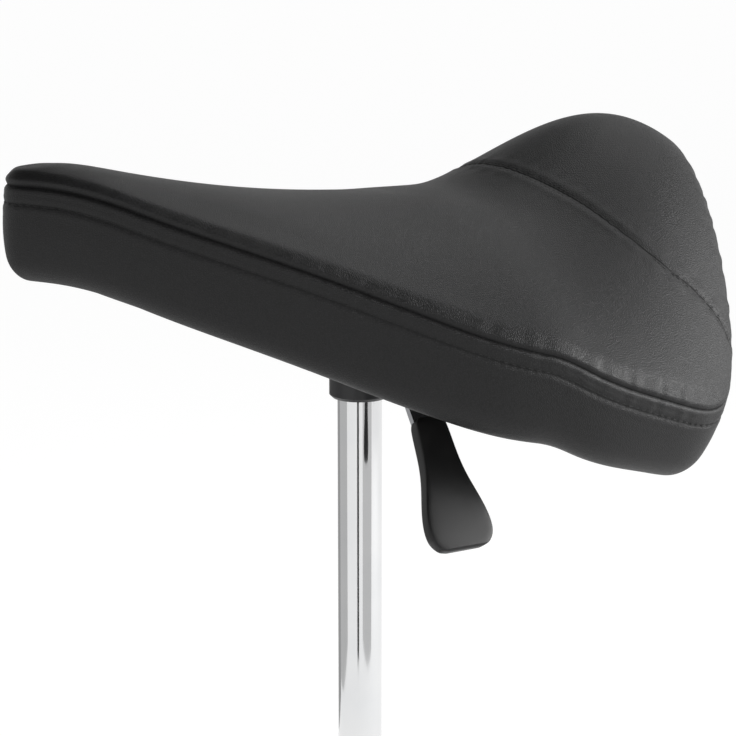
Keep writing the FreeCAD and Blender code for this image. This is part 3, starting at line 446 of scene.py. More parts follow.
# %% Distances to the seams
edge_distance, edge_near = nearest_on(edge_line, place)
cross_distance, cross_near = nearest_on(cross_line, place)
edge_along = edge_steps[edge_near]
cross_along = cross_steps[cross_near]
run = np.roll(edge_line, -1, axis=0) - np.roll(edge_line, 1, axis=0)
run /= np.linalg.norm(run, axis=1)[:, None]
rise = np.array([0, 0, 1.0]) - run * run[:, 2:]
above = ((place - edge_line[edge_near]) * rise[edge_near]).sum(axis=1)
edge_signed = np.where(above > 0, edge_distance, -edge_distance)
behind = place[:, 1] - cross_line[cross_near][:, 1]
cross_signed = np.where(behind > 0, cross_distance, -cross_distance)
outer_skin = normal[:, 2] > -0.2
print("seam distances ready")


# %% [markdown]
# A joint is a narrow groove between two low swellings. A stitched row is a shallow furrow that deepens at each stitch,
# and cloth drawn up by thread puckers beside it. All of it is a sum of soft humps, moved along the normal.

# %% Sewn detail as small moves along the normal
def hump(distance, width):
    """A soft hump of height one at distance zero."""
    return np.exp(-(distance / width) ** 2)


STITCH_ROW = -10.0
STITCH_PITCH = 5.0
CROSS_ROW = 2.3
CROSS_PITCH = 3.6
rearness = np.clip((place[:, 1] + 20) / 160, 0, 1)
beat = np.cos(2 * np.pi * edge_along / STITCH_PITCH)
move = -1.25 * hump(edge_signed, 1.25)
move += 0.3 * hump(edge_signed - 3.4, 1.6) + 0.25 * hump(edge_signed + 3.4, 1.6)
move -= (0.55 + 0.2 * beat) * hump(edge_signed - STITCH_ROW, 1.5)
move += 0.2 * hump(edge_signed - STITCH_ROW - 3.2, 1.6) + 0.2 * hump(edge_signed - STITCH_ROW + 3.2, 1.8)
wander = np.sin(edge_along / 31) * 2.1 + np.sin(edge_along / 17 + 1.3) * 1.2
pucker = np.sin(2 * np.pi * edge_along / 17 + wander) + 0.6 * np.sin(2 * np.pi * edge_along / 11 + 2 * wander)
move += (0.06 + 0.2 * rearness) * pucker * hump(edge_signed - 5, 6.5)
move += (0.05 + 0.12 * rearness) * pucker * hump(edge_signed + 6, 4.5)
on_top = np.clip((edge_signed - 1) / 3, 0, 1)
cross_move = -0.95 * hump(cross_signed, 1.15) + 0.3 * hump(abs(cross_signed) - 4.6, 1.8)
cross_beat = np.cos(2 * np.pi * cross_along / CROSS_PITCH)
cross_move -= (0.3 + 0.12 * cross_beat) * hump(abs(cross_signed) - CROSS_ROW, 0.9)
cross_pucker = np.sin(2 * np.pi * cross_along / 14 + np.sin(cross_along / 23) * 2)
cross_move += 0.14 * cross_pucker * hump(abs(cross_signed) - 7, 5)
move += on_top * cross_move
nose = np.clip((-150 - place[:, 1]) / 50, 0, 1) * np.clip((edge_signed - 3) / 6, 0, 1)
move += nose * 0.12 * np.sin(place[:, 0] / 3.1 + np.sin(place[:, 1] / 6.3) * 1.7) * np.sin(place[:, 1] / 19)
move *= outer_skin | (abs(edge_signed) < 20)
move[edge_distance > 400] = 0
place += normal * move[:, None]
cushion.data.vertices.foreach_set("co", (place * MM).ravel())
for name, values in (("edge_seam", edge_signed), ("cross_seam", np.where(on_top > 0.5, cross_signed, 99.0)),
                     ("edge_run", edge_along), ("cross_run", cross_along)):
    layer = cushion.data.attributes.new(name, "FLOAT", "POINT")
    layer.data.foreach_set("value", np.ascontiguousarray(values, dtype=np.float32))
cushion.data.update()
pick(cushion)
bpy.ops.object.shade_smooth()
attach(cushion, "seat")
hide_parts("seat_cover_front_panel", "seat_cover_rear_panel", "seat_cover_side_band", "seat_foam")
print("cushion moves in mm:", move.min().round(2), move.max().round(2))

# %% [markdown]
# The topstitch thread is a row of tiny capsules, each with a few dozen faces. One is modelled from a sphere and its
# copies are laid in the furrows of the finished cushion, so each sinks halfway into the leatherette.

# %% One stitch
pick_none()
bpy.ops.mesh.primitive_uv_sphere_add(segments=6, ring_count=5, radius=0.5)
stitch = bpy.context.object
stitch.name = "stitch"
bpy.ops.object.mode_set(mode="EDIT")
bpy.ops.mesh.select_all(action="SELECT")
bpy.ops.transform.resize(value=(0.62, 0.62, 1.0))
bpy.ops.object.mode_set(mode="OBJECT")
stitch_shape = np.array([vertex.co for vertex in stitch.data.vertices])
skin_tree = BVHTree.FromPolygons([Vector(point) for point in place],
                                 [tuple(face.vertices) for face in cushion.data.polygons])
print("stitch faces:", len(stitch.data.polygons))


# %% Lay rows of stitches
def sew(name, rows, length, thickness, sink):
    """Rows of stitches as one piece: each stitch lies along its row, sunk into the cover."""
    copies = []
    for row in rows:
        for start, end in zip(row[:-1], row[1:]):
            spot, up, _, _ = skin_tree.find_nearest(Vector((start + end) / 2))
            along = Vector(end - start)
            along = (along - up * along.dot(up)).normalized()
            across = up.cross(along)
            turn = Matrix((across * thickness, up * thickness, along * length)).transposed()
            shape = [(turn @ Vector(point) + spot - up * sink) * MM for point in stitch_shape]
            copy = bpy.data.objects.new(name, stitch.data.copy())
            copy.data.vertices.foreach_set("co", np.array(shape).ravel())
            bpy.context.scene.collection.objects.link(copy)
            copies.append(copy)
    pick(*copies)
    bpy.ops.object.join()
    thread = bpy.context.object
    thread.name = name
    bpy.ops.object.mode_set(mode="EDIT")
    bpy.ops.mesh.select_all(action="SELECT")
    bpy.ops.mesh.normals_make_consistent(inside=False)
    bpy.ops.object.mode_set(mode="OBJECT")
    bpy.ops.object.shade_smooth()
    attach(thread, "seat")
    print(name, len(copies), "stitches")
    return thread


row_share = -STITCH_ROW / side_height
edge_row = side_ring(row_share)
edge_row = evenly(edge_row, int(edge_steps[-1] / STITCH_PITCH), closed=True)
edge_thread = sew("edge_stitches", [np.vstack([edge_row, edge_row[:1]])], 3.9, 1.15, 0.12)
count = int(cross_steps[-1] / CROSS_PITCH)
cross_rows = []
for side in (-1, 1):
    row = evenly(cross_line, count)
    heading = np.gradient(row, axis=0)
    beside = np.cross([0, 0, 1.0], heading)
    row = row + side * CROSS_ROW * beside / np.linalg.norm(beside, axis=1)[:, None]
    cross_rows.append(row[2:-2])
cross_thread = sew("cross_stitches", cross_rows, 2.8, 0.8, 0.12)
bpy.data.objects.remove(stitch)

# %% [markdown]
# The gas cylinder is a straight polished tube whose top narrows a little to grip the tapered socket. A cylinder
# primitive is bevelled at its foot and extruded upwards for the cone.

# %% Gas cylinder
CYLINDER_RADIUS, CONE_TOP_RADIUS = 14.0, 13.25
CYLINDER_FOOT, CONE_START, CYLINDER_TOP = 280.0, 573.0, 620.0
pick_none()
bpy.ops.mesh.primitive_cylinder_add(vertices=96, radius=CYLINDER_RADIUS * MM,
                                    depth=(CONE_START - CYLINDER_FOOT) * MM,
                                    location=(0, 0, (CONE_START + CYLINDER_FOOT) / 2 * MM))
cylinder = bpy.context.object
cylinder.name = "gas_cylinder_chrome"
settle(cylinder)
edit_top_face(cylinder)
bpy.ops.mesh.extrude_region_move(TRANSFORM_OT_translate={"value": (0, 0, (CYLINDER_TOP - CONE_START) * MM)})
bpy.ops.transform.resize(value=(CONE_TOP_RADIUS / CYLINDER_RADIUS, CONE_TOP_RADIUS / CYLINDER_RADIUS, 1))
bpy.ops.mesh.inset(thickness=1.0 * MM)
bpy.ops.object.mode_set(mode="OBJECT")
bevel = cylinder.modifiers.new("soft edges", "BEVEL")
bevel.width = 0.8 * MM
bevel.segments = 3
bevel.limit_method = "ANGLE"
apply_all(cylinder)
bpy.ops.object.shade_smooth_by_angle(angle=math.radians(30))
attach(cylinder, "seat")
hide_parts("gas_cylinder")
print("cylinder faces:", len(cylinder.data.polygons))

# %% [markdown]
# The lever's paddle is a flat moulded spoon: a narrow neck that widens to a round end, with a flat face and a full
# rim. A cube is extruded section by section along its length, subdivided, and turned to hang under the wing. It comes
# out longer, and flatter at its end, than the one in the photograph.

# %% Paddle outline
PADDLE_START, PADDLE_END = np.array([76.0, 0, 576.0]), np.array([119.0, 0, 505.0])
PADDLE_LENGTH = float(np.linalg.norm(PADDLE_END - PADDLE_START))
# Share of the length, width and thickness of each section
PADDLE_SECTIONS = [(0.0, 19, 9.4), (0.1, 22, 9.6), (0.25, 23.5, 9.4), (0.38, 25.5, 9.2), (0.5, 30, 9),
                   (0.62, 36.5, 8.8), (0.74, 42, 8.6), (0.84, 44, 8.4), (0.92, 42.5, 8), (0.98, 34, 7.4),
                   (1.0, 22, 6.6)]
pick_none()
bpy.ops.mesh.primitive_cube_add(size=1)
paddle = bpy.context.object
paddle.name = "lever_paddle_moulded"
share, width, thickness = PADDLE_SECTIONS[0]
step = (PADDLE_SECTIONS[1][0] - share) * PADDLE_LENGTH
bpy.ops.transform.resize(value=(thickness * MM, width * MM, step * MM))
bpy.ops.transform.translate(value=(0, 0, step / 2 * MM))
settle(paddle)
edit_top_face(paddle)
bpy.ops.transform.resize(value=(PADDLE_SECTIONS[1][2] / thickness, PADDLE_SECTIONS[1][1] / width, 1))
for before, here in zip(PADDLE_SECTIONS[1:-1], PADDLE_SECTIONS[2:]):
    bpy.ops.mesh.extrude_region_move(
        TRANSFORM_OT_translate={"value": (0, 0, (here[0] - before[0]) * PADDLE_LENGTH * MM)})
    bpy.ops.transform.resize(value=(here[2] / before[2], here[1] / before[1], 1))
bpy.ops.object.mode_set(mode="OBJECT")
print("paddle blank:", len(paddle.data.polygons), "faces")

# %% Round the paddle's rims and hang it
for edge in paddle.data.edges:
    first, last = (paddle.data.vertices[number].co for number in edge.vertices)
    edge.select = abs(first.z - last.z) > 1e-5 or min(first.z, last.z) > (PADDLE_LENGTH - 1) * MM
bpy.ops.object.mode_set(mode="EDIT")
bpy.ops.mesh.select_mode(type="EDGE")
bpy.ops.mesh.bevel(offset=2.6 * MM, segments=2, affect="EDGES", clamp_overlap=True)
bpy.ops.mesh.select_all(action="SELECT")
bpy.ops.mesh.remove_doubles(threshold=0.00005)
bpy.ops.mesh.normals_make_consistent(inside=False)
bpy.ops.object.mode_set(mode="OBJECT")
rounding = paddle.modifiers.new("round", "SUBSURF")
rounding.levels = rounding.render_levels = 2
apply_all(paddle)
bpy.ops.object.shade_smooth()
lean = math.atan2(PADDLE_END[0] - PADDLE_START[0], PADDLE_END[2] - PADDLE_START[2])
paddle.matrix_world = Matrix.Translation(Vector(PADDLE_START * MM)) @ Matrix.Rotation(lean, 4, "Y")
settle(paddle)
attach(paddle, "lever")
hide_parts("lever_paddle")
print("paddle box:", [round(value, 3) for value in paddle.dimensions])


# %% [markdown]
# Finishes. An effect that several materials share is a node group that gives out only heights, masks and colours.
# The shader itself, with its constant gloss, stays in each material.

# %% Node helpers
def add_node(tree, kind, spot, **settings):
    """A node at a spot, with its properties set."""
    node = tree.nodes.new("ShaderNode" + kind)
    node.location = (spot[0] * 200, -spot[1] * 200)
    for name, value in settings.items():
        setattr(node, name, value)
    return node


def join(tree, source, target):
    """Wire a source socket to a target socket."""
    tree.links.new(source, target)


def new_group(name, inputs, outputs):
    """An empty node group with float inputs and named outputs."""
    group = bpy.data.node_groups.new(name, "ShaderNodeTree")
    for label, value in inputs:
        socket = group.interface.new_socket(name=label, in_out="INPUT", socket_type="NodeSocketFloat")
        socket.default_value = value
    for label in outputs:
        group.interface.new_socket(name=label, in_out="OUTPUT", socket_type="NodeSocketFloat")
    start = group.nodes.new("NodeGroupInput")
    end = group.nodes.new("NodeGroupOutput")
    start.location, end.location = (-600, 0), (1400, 0)
    return group, start, end


def math_node(tree, operation, spot, *values):
    """A Math node; each value is a number or a socket."""
    node = add_node(tree, "Math", spot, operation=operation)
    for number, value in enumerate(values):
        if isinstance(value, (int, float)):
            node.inputs[number].default_value = value
        else:
            join(tree, value, node.inputs[number])
    return node.outputs[0]


def noise_node(tree, spot, vector, scale, detail=2.0, roughness=0.5):
    """A noise texture; the scale is a number or a socket."""
    node = add_node(tree, "TexNoise", spot)
    join(tree, vector, node.inputs["Vector"])
    node.inputs["Detail"].default_value = detail
    node.inputs["Roughness"].default_value = roughness
    if isinstance(scale, (int, float)):
        node.inputs["Scale"].default_value = scale
    else:
        join(tree, scale, node.inputs["Scale"])
    return node.outputs["Fac"]


def add_relief(tree, shader, spot, height, distance, strength=1.0):
    """Bump from a height, wired to the shader's normal."""
    relief = add_node(tree, "Bump", spot)
    relief.inputs["Strength"].default_value = strength
    relief.inputs["Distance"].default_value = distance
    join(tree, height, relief.inputs["Height"])
    join(tree, relief.outputs["Normal"], shader.inputs["Normal"])


def direct_rays(tree, spot):
    """One for rays from the camera, a mirror or glass, and zero for ordinary light."""
    rays = add_node(tree, "LightPath", spot)
    camera_ray, mirror_ray = rays.outputs["Is Camera Ray"], rays.outputs["Is Glossy Ray"]
    seen = math_node(tree, "MAXIMUM", (spot[0] + 1, spot[1]), camera_ray, mirror_ray)
    return math_node(tree, "MAXIMUM", (spot[0] + 2, spot[1]), seen, rays.outputs["Is Transmission Ray"])


print("node helpers ready")

# %% [markdown]
# Leatherette is embossed with a pebble grain: rounded cells of about a millimetre with narrow creases between them,
# of slightly uneven size. Voronoi distances give the cells, and a coarser noise makes some areas smoother.

# %% Group: pebble grain
grain, start, end = new_group("pebble grain", [("Scale", 900.0), ("Patches", 14.0)],
                              ["Height", "Crease", "Patch"])
coords = add_node(grain, "TexCoord", (-3, 2))
cells = add_node(grain, "TexVoronoi", (0, 0), feature="DISTANCE_TO_EDGE")
cells.inputs["Randomness"].default_value = 0.85
join(grain, coords.outputs["Object"], cells.inputs["Vector"])
join(grain, start.outputs["Scale"], cells.inputs["Scale"])
pebble = add_node(grain, "MapRange", (1, 0), interpolation_type="SMOOTHSTEP")
pebble.inputs["From Max"].default_value = 0.28
join(grain, cells.outputs["Distance"], pebble.inputs["Value"])
patch = noise_node(grain, (0, 2), coords.outputs["Object"], start.outputs["Patches"], 3.0)
fine_scale = math_node(grain, "MULTIPLY", (0, 3), start.outputs["Scale"], 2.7)
fine = noise_node(grain, (1, 3), coords.outputs["Object"], fine_scale, 2.0)
blend = math_node(grain, "MULTIPLY", (2, 1), fine, 0.35)
height = math_node(grain, "ADD", (3, 0), pebble.outputs["Result"], blend)
join(grain, height, end.inputs["Height"])
join(grain, math_node(grain, "SUBTRACT", (3, 1), 1.0, pebble.outputs["Result"]), end.inputs["Crease"])
join(grain, patch, end.inputs["Patch"])
print("group:", grain.name)

# %% [markdown]
# Rigid parts share two effects: a fine moulded or sprayed texture, and a patchy film of dust and handling marks that
# gathers on faces that look upwards.

# %% Group: moulded texture
texture, start, end = new_group("moulded texture", [("Scale", 1200.0), ("Marks", 25.0)], ["Height", "Marks"])
coords = add_node(texture, "TexCoord", (-3, 2))
moulded = noise_node(texture, (0, 0), coords.outputs["Object"], start.outputs["Scale"], 3.0, 0.6)
join(texture, moulded, end.inputs["Height"])
marks = noise_node(texture, (0, 2), coords.outputs["Object"], start.outputs["Marks"], 5.0, 0.62)
shaped = add_node(texture, "MapRange", (1, 2), interpolation_type="SMOOTHSTEP")
shaped.inputs["From Min"].default_value = 0.42
shaped.inputs["From Max"].default_value = 0.72
join(texture, marks, shaped.inputs["Value"])
join(texture, shaped.outputs["Result"], end.inputs["Marks"])

# %% Group: dust film
dust, start, end = new_group("dust film", [("Scale", 60.0)], ["Dust"])
coords = add_node(dust, "TexCoord", (-3, 2))
facing = add_node(dust, "NewGeometry", (-2, 0))
split = add_node(dust, "SeparateXYZ", (-1, 0))
join(dust, facing.outputs["Normal"], split.inputs["Vector"])
upward = math_node(dust, "MAXIMUM", (0, 0), split.outputs["Z"], 0.0)
specks = noise_node(dust, (0, 2), coords.outputs["Object"], start.outputs["Scale"], 6.0, 0.7)
join(dust, math_node(dust, "MULTIPLY", (1, 1), upward, specks), end.inputs["Dust"])
print("groups:", texture.name, "and", dust.name)


# %% Make a material from a plain description
def new_material(name):
    """A material with an empty tree, its shader and its output."""
    material = bpy.data.materials.new(name)
    material.use_nodes = True
    tree = material.node_tree
    tree.nodes.clear()
    shader = add_node(tree, "BsdfPrincipled", (6, 0))
    out = add_node(tree, "OutputMaterial", (8, 0))
    join(tree, shader.outputs["BSDF"], out.inputs["Surface"])
    return material, tree, shader


def place_group(tree, group, spot, **values):
    """A shared effect placed in a material with its own values."""
    node = add_node(tree, "Group", spot)
    node.node_tree = group
    for name, value in values.items():
        node.inputs[name].default_value = value
    return node


def mix_colours(tree, spot, factor, first, second):
    """Colour that turns from the first to the second with the factor."""
    node = add_node(tree, "Mix", spot, data_type="RGBA")
    join(tree, factor, node.inputs["Factor"])
    for socket, colour in ((node.inputs[6], first), (node.inputs[7], second)):
        if isinstance(colour, tuple):
            socket.default_value = (*colour, 1)
        else:
            join(tree, colour, socket)
    return node.outputs[2]


def spread(tree, spot, value, low, high):
    """A value from 0 to 1 spread between two limits."""
    node = add_node(tree, "MapRange", spot)
    node.inputs["To Min"].default_value = low
    node.inputs["To Max"].default_value = high
    join(tree, value, node.inputs["Value"])
    return node.outputs["Result"]


DUST_COLOUR = (0.32, 0.31, 0.29)


def rigid_finish(name, colour, marked, rough, metallic=0.0, bump=0.06, scale=1200.0, marks=25.0, dusty=0.25,
                 level=0.5):
    """A painted, moulded or metal finish with fine texture, marks and dust."""
    material, tree, shader = new_material(name)
    effect = place_group(tree, texture, (0, 0), Scale=scale, Marks=marks)
    film = place_group(tree, dust, (0, 2), Scale=marks * 3)
    tint = mix_colours(tree, (2, 0), effect.outputs["Marks"], colour, marked)
    film_amount = math_node(tree, "MULTIPLY", (2, 2), film.outputs["Dust"], dusty)
    join(tree, mix_colours(tree, (4, 0), film_amount, tint, DUST_COLOUR), shader.inputs["Base Color"])
    gloss = spread(tree, (2, 3), effect.outputs["Marks"], rough[0], rough[1])
    join(tree, math_node(tree, "ADD", (4, 3), gloss, math_node(tree, "MULTIPLY", (3, 4), film_amount, 0.4)),
         shader.inputs["Roughness"])
    add_relief(tree, shader, (4, 5), effect.outputs["Height"], 0.0004, bump)
    shader.inputs["Metallic"].default_value = metallic
    shader.inputs["Specular IOR Level"].default_value = level
    return material


def dress(piece, material):
    """Give one finish to every material slot of a piece."""
    if not piece.material_slots:
        piece.data.materials.append(material)
    for pocket in piece.material_slots:
        pocket.material = material


print("material helpers ready")

# %% [markdown]
# The cover's black is never flat: grain creases are darker, the cover is duller and darker in the sewn joints, and
# soft patches of gloss show where sitters rub it. The seam distances stored on the cushion place the joints.

# %% Leatherette
leather, tree, shader = new_material("black leatherette")
pebbles = place_group(tree, grain, (0, 0), Scale=820.0, Patches=11.0)
tint = mix_colours(tree, (2, 0), pebbles.outputs["Patch"], (0.0125, 0.0125, 0.0130), (0.0200, 0.0200, 0.0205))
creases = spread(tree, (2, 1), pebbles.outputs["Crease"], 0.0, 0.55)
tint = mix_colours(tree, (3, 0), creases, tint, (0.005, 0.005, 0.005))


def joint_mask(name, offset, width, spot):
    """One on a seam line, fading to zero over its width in millimetres."""
    layer = add_node(tree, "Attribute", spot, attribute_name=name)
    away = math_node(tree, "ABSOLUTE", (spot[0] + 1, spot[1]),
                     math_node(tree, "SUBTRACT", (spot[0] + 0.5, spot[1] + 0.5), layer.outputs["Fac"], offset))
    fade = add_node(tree, "MapRange", (spot[0] + 2, spot[1]), interpolation_type="SMOOTHSTEP")
    fade.inputs["From Max"].default_value = width
    fade.inputs["To Min"].default_value = 1.0
    fade.inputs["To Max"].default_value = 0.0
    join(tree, away, fade.inputs["Value"])
    return fade.outputs["Result"]


edge_joint = joint_mask("edge_seam", 0.0, 1.1, (-2, 5))
cross_joint = joint_mask("cross_seam", 0.0, 0.9, (-2, 7))
furrow = joint_mask("edge_seam", STITCH_ROW, 1.5, (-2, 9))
joints = math_node(tree, "MAXIMUM", (2, 6), edge_joint, cross_joint)
sewn = math_node(tree, "MAXIMUM", (3, 7), joints, math_node(tree, "MULTIPLY", (2, 9), furrow, 0.45))
tint = mix_colours(tree, (4, 0), sewn, tint, (0.0025, 0.0025, 0.0025))
join(tree, tint, shader.inputs["Base Color"])
gloss = spread(tree, (2, 3), pebbles.outputs["Patch"], 0.40, 0.56)
gloss = math_node(tree, "ADD", (3, 3), gloss, math_node(tree, "MULTIPLY", (2, 4), sewn, 0.35))
join(tree, gloss, shader.inputs["Roughness"])
sunk = math_node(tree, "MULTIPLY", (3, 5), sewn, 2.2)
deep = math_node(tree, "SUBTRACT", (4, 5), pebbles.outputs["Height"], sunk)
add_relief(tree, shader, (5, 5), deep, 0.00028, 0.42)
shader.inputs["Specular IOR Level"].default_value = 0.34
dress(cushion, leather)
print("material:", leather.name)

# %% [markdown]
# Thread is a tight twist of black polyester. A fine wave along its run breaks the highlight as the twist does.

# %% Thread
thread, tree, shader = new_material("black thread")
coords = add_node(tree, "TexCoord", (0, 0))
twist = add_node(tree, "TexWave", (1, 0), wave_type="BANDS", bands_direction="DIAGONAL")
twist.inputs["Scale"].default_value = 900.0
twist.inputs["Distortion"].default_value = 1.5
join(tree, coords.outputs["Object"], twist.inputs["Vector"])
join(tree, mix_colours(tree, (2, 0), twist.outputs["Fac"], (0.004, 0.004, 0.004), (0.016, 0.016, 0.016)),
     shader.inputs["Base Color"])
join(tree, spread(tree, (2, 2), twist.outputs["Fac"], 0.55, 0.8), shader.inputs["Roughness"])
add_relief(tree, shader, (3, 3), twist.outputs["Fac"], 0.0001)
dress(edge_thread, thread)
dress(cross_thread, thread)
print("material:", thread.name)

# %% [markdown]
# Chrome plate mirrors the studio. Its roughness is low, with faint drawn lines along the tube and a few smears.
# Plywood shows layers at its edge, so its colour bands follow the height. Its colours are set near black as painted
# shade, because nothing light shows under the seat in the photograph. The lining cloth is two crossed waves.

# %% Chrome, plywood and woven lining
chrome, tree, shader = new_material("chrome plate")
coords = add_node(tree, "TexCoord", (-1, 0))
stretch = add_node(tree, "Mapping", (0, 0))
stretch.inputs["Scale"].default_value = (1500, 1500, 12)
join(tree, coords.outputs["Object"], stretch.inputs["Vector"])
lines = noise_node(tree, (1, 0), stretch.outputs["Vector"], 1.0, 3.0)
smears = noise_node(tree, (1, 2), coords.outputs["Object"], 35.0, 4.0)
plated = mix_colours(tree, (3, 0), smears, (0.70, 0.71, 0.72), (0.80, 0.80, 0.80))
join(tree, plated, shader.inputs["Base Color"])
join(tree, spread(tree, (3, 2), math_node(tree, "MULTIPLY", (2, 2), lines, smears), 0.05, 0.2),
     shader.inputs["Roughness"])
shader.inputs["Metallic"].default_value = 1.0

# The plywood's colours are set near black: painted shade for the edge seen under the seat.
plywood, tree, shader = new_material("plywood darkened as painted shade")
coords = add_node(tree, "TexCoord", (-1, 0))
along = add_node(tree, "Mapping", (0, 0))
along.inputs["Scale"].default_value = (90, 9, 90)
join(tree, coords.outputs["Object"], along.inputs["Vector"])
fibres = noise_node(tree, (1, 0), along.outputs["Vector"], 6.0, 6.0, 0.6)
plies = add_node(tree, "TexWave", (1, 2), wave_type="BANDS", bands_direction="Z")
plies.inputs["Scale"].default_value = 130.0
plies.inputs["Distortion"].default_value = 1.0
join(tree, coords.outputs["Object"], plies.inputs["Vector"])
# These near-black wood colours are painted shade under the seat.
wood = mix_colours(tree, (2, 0), fibres, (0.035, 0.027, 0.020), (0.060, 0.046, 0.034))
join(tree, mix_colours(tree, (3, 0), math_node(tree, "MULTIPLY", (2, 2), plies.outputs["Fac"], 0.3), wood,
                       (0.022, 0.017, 0.013)), shader.inputs["Base Color"])
join(tree, spread(tree, (3, 2), fibres, 0.5, 0.75), shader.inputs["Roughness"])
add_relief(tree, shader, (4, 3), fibres, 0.0005, 0.2)

lining, tree, shader = new_material("black lining cloth")
coords = add_node(tree, "TexCoord", (-1, 0))
weave = []
for row, direction in enumerate(("X", "Y")):
    yarn = add_node(tree, "TexWave", (1, row * 2), wave_type="BANDS", bands_direction=direction)
    yarn.inputs["Scale"].default_value = 420.0
    yarn.inputs["Distortion"].default_value = 0.6
    join(tree, coords.outputs["Object"], yarn.inputs["Vector"])
    weave.append(yarn.outputs["Fac"])
crossing = math_node(tree, "MULTIPLY", (2, 1), *weave)
black_yarn = mix_colours(tree, (3, 0), crossing, (0.006, 0.006, 0.006), (0.028, 0.028, 0.028))
join(tree, black_yarn, shader.inputs["Base Color"])
join(tree, spread(tree, (3, 2), crossing, 0.95, 0.8), shader.inputs["Roughness"])
add_relief(tree, shader, (4, 3), crossing, 0.0003)
print("materials:", chrome.name, plywood.name, lining.name)

# %% [markdown]
# The remaining finishes differ only in colour, gloss and texture, so each is one call with its own values.

# %% Rigid finishes
finishes = {
    "paddle": rigid_finish("paddle plastic", (0.010, 0.010, 0.0105), (0.016, 0.016, 0.016), (0.36, 0.5), bump=0.12,
                           scale=1600.0, dusty=0.05, level=0.4),
    "paint": rigid_finish("black powder coat", (0.012, 0.012, 0.013), (0.022, 0.022, 0.022), (0.38, 0.52), bump=0.25,
                          scale=700.0, dusty=0.12),
    "base": rigid_finish("black nylon base", (0.014, 0.014, 0.015), (0.024, 0.024, 0.024), (0.45, 0.6), bump=0.2,
                         scale=1100.0, dusty=0.22, level=0.4),
    "castor": rigid_finish("castor hood nylon", (0.011, 0.011, 0.012), (0.02, 0.02, 0.02), (0.34, 0.5), bump=0.1,
                           scale=1500.0, dusty=0.18),
    "tread": rigid_finish("castor tread", (0.016, 0.016, 0.016), (0.038, 0.036, 0.033), (0.5, 0.72), bump=0.2,
                          scale=900.0, marks=60.0, dusty=0.3),
    "zinc": rigid_finish("zinc plated steel", (0.50, 0.51, 0.52), (0.38, 0.39, 0.42), (0.28, 0.45), metallic=1.0,
                         bump=0.08, scale=1400.0, marks=90.0, dusty=0.08),
    "steel": rigid_finish("bright turned steel", (0.58, 0.57, 0.56), (0.46, 0.45, 0.44), (0.2, 0.36), metallic=1.0,
                          bump=0.05, scale=2400.0, marks=50.0, dusty=0.04),
    "brass": rigid_finish("turned brass", (0.72, 0.52, 0.22), (0.55, 0.38, 0.15), (0.25, 0.4), metallic=1.0,
                          bump=0.05, scale=2200.0, marks=45.0, dusty=0.04),
    "rubber": rigid_finish("seal rubber", (0.014, 0.014, 0.014), (0.03, 0.03, 0.03), (0.65, 0.85), bump=0.15,
                           scale=1300.0, dusty=0.1, level=0.3),
    "bush": rigid_finish("guide bush nylon", (0.016, 0.016, 0.017), (0.026, 0.026, 0.026), (0.4, 0.55), bump=0.1,
                         scale=1500.0, dusty=0.15),
}
dressing = {
    "paint": ("mounting_plate", "taper_socket", "column_tube"),
    "base": ("star_base",),
    "zinc": ("seat_bolts", "bolt_washers", "tee_nuts", "lever_arm", "retaining_clip", "castor_stems"),
    "steel": ("lever_pivot_pin", "piston_rod", "bearing_race_lower", "bearing_race_upper", "bearing_balls",
              "release_pin", "inner_tube", "piston"),
    "brass": ("valve_body",),
    "rubber": ("piston_seal", "rubber_buffer"),
    "bush": ("guide_bush", "end_guide"),
}
print("finishes:", ", ".join(finishes))

# %% [markdown]
# A carried node keeps its CAD mesh, which is never touched: only its material slot is filled.

# %% Dress the CAD nodes
for finish, names in dressing.items():
    for name in names:
        dress(node_object[name], finishes[finish])
for number in range(1, 6):
    dress(node_object[f"castor_{number}_hood"], finishes["castor"])
    dress(node_object[f"castor_{number}_axle"], finishes["steel"])
    dress(node_object[f"castor_{number}_wheel_left"], finishes["tread"])
    dress(node_object[f"castor_{number}_wheel_right"], finishes["tread"])
dress(node_object["seat_pan"], plywood)
dress(node_object["dust_cover"], lining)
dress(cylinder, chrome)
dress(paddle, finishes["paddle"])
print("dressed", len(node_object), "nodes")

# %% [markdown]
# The studio: a pale floor in a pale room. The floor glows white to the camera and to mirror rays, and keeps a
# plain share of ordinary lighting so that it still shows the stool's shadow.

# %% Floor
FLOOR_GLOW, GLOW_SHARE = 1.17, 0.8
FLOOR_SIZE, FLOOR_DROP = 80, 0.0004
pick_none()
bpy.ops.mesh.primitive_plane_add(size=FLOOR_SIZE, location=(0, 0, -FLOOR_DROP))
floor = bpy.context.object
floor.name = "floor"
settle(floor)
pale, tree, shader = new_material("pale floor")
shader.inputs["Base Color"].default_value = (0.8, 0.8, 0.8, 1)
shader.inputs["Roughness"].default_value = 0.9
glow = add_node(tree, "Emission", (6, 3))
glow.inputs["Strength"].default_value = FLOOR_GLOW
both = add_node(tree, "MixShader", (7, 2))
join(tree, math_node(tree, "MULTIPLY", (6, 5), direct_rays(tree, (3, 5)), GLOW_SHARE), both.inputs["Fac"])
join(tree, shader.outputs["BSDF"], both.inputs[1])
join(tree, glow.outputs["Emission"], both.inputs[2])
output = [node for node in tree.nodes if node.type == "OUTPUT_MATERIAL"][0]
join(tree, both.outputs["Shader"], output.inputs["Surface"])
dress(floor, pale)

# %% [markdown]
# The room lights the stool weakly from all round, and looks brighter than that to the camera and in mirrors.

# %% World
ROOM_LIGHT, ROOM_SEEN = 0.28, 1.0
world = bpy.data.worlds.new("studio")
bpy.context.scene.world = world
world.use_nodes = True
tree = world.node_tree
tree.nodes.clear()
sky = add_node(tree, "Background", (3, 0))
join(tree, spread(tree, (2.5, 1), direct_rays(tree, (0, 0)), ROOM_LIGHT, ROOM_SEEN), sky.inputs["Strength"])
final = add_node(tree, "OutputWorld", (4, 0))
join(tree, sky.outputs["Background"], final.inputs["Surface"])
print("floor and world ready")

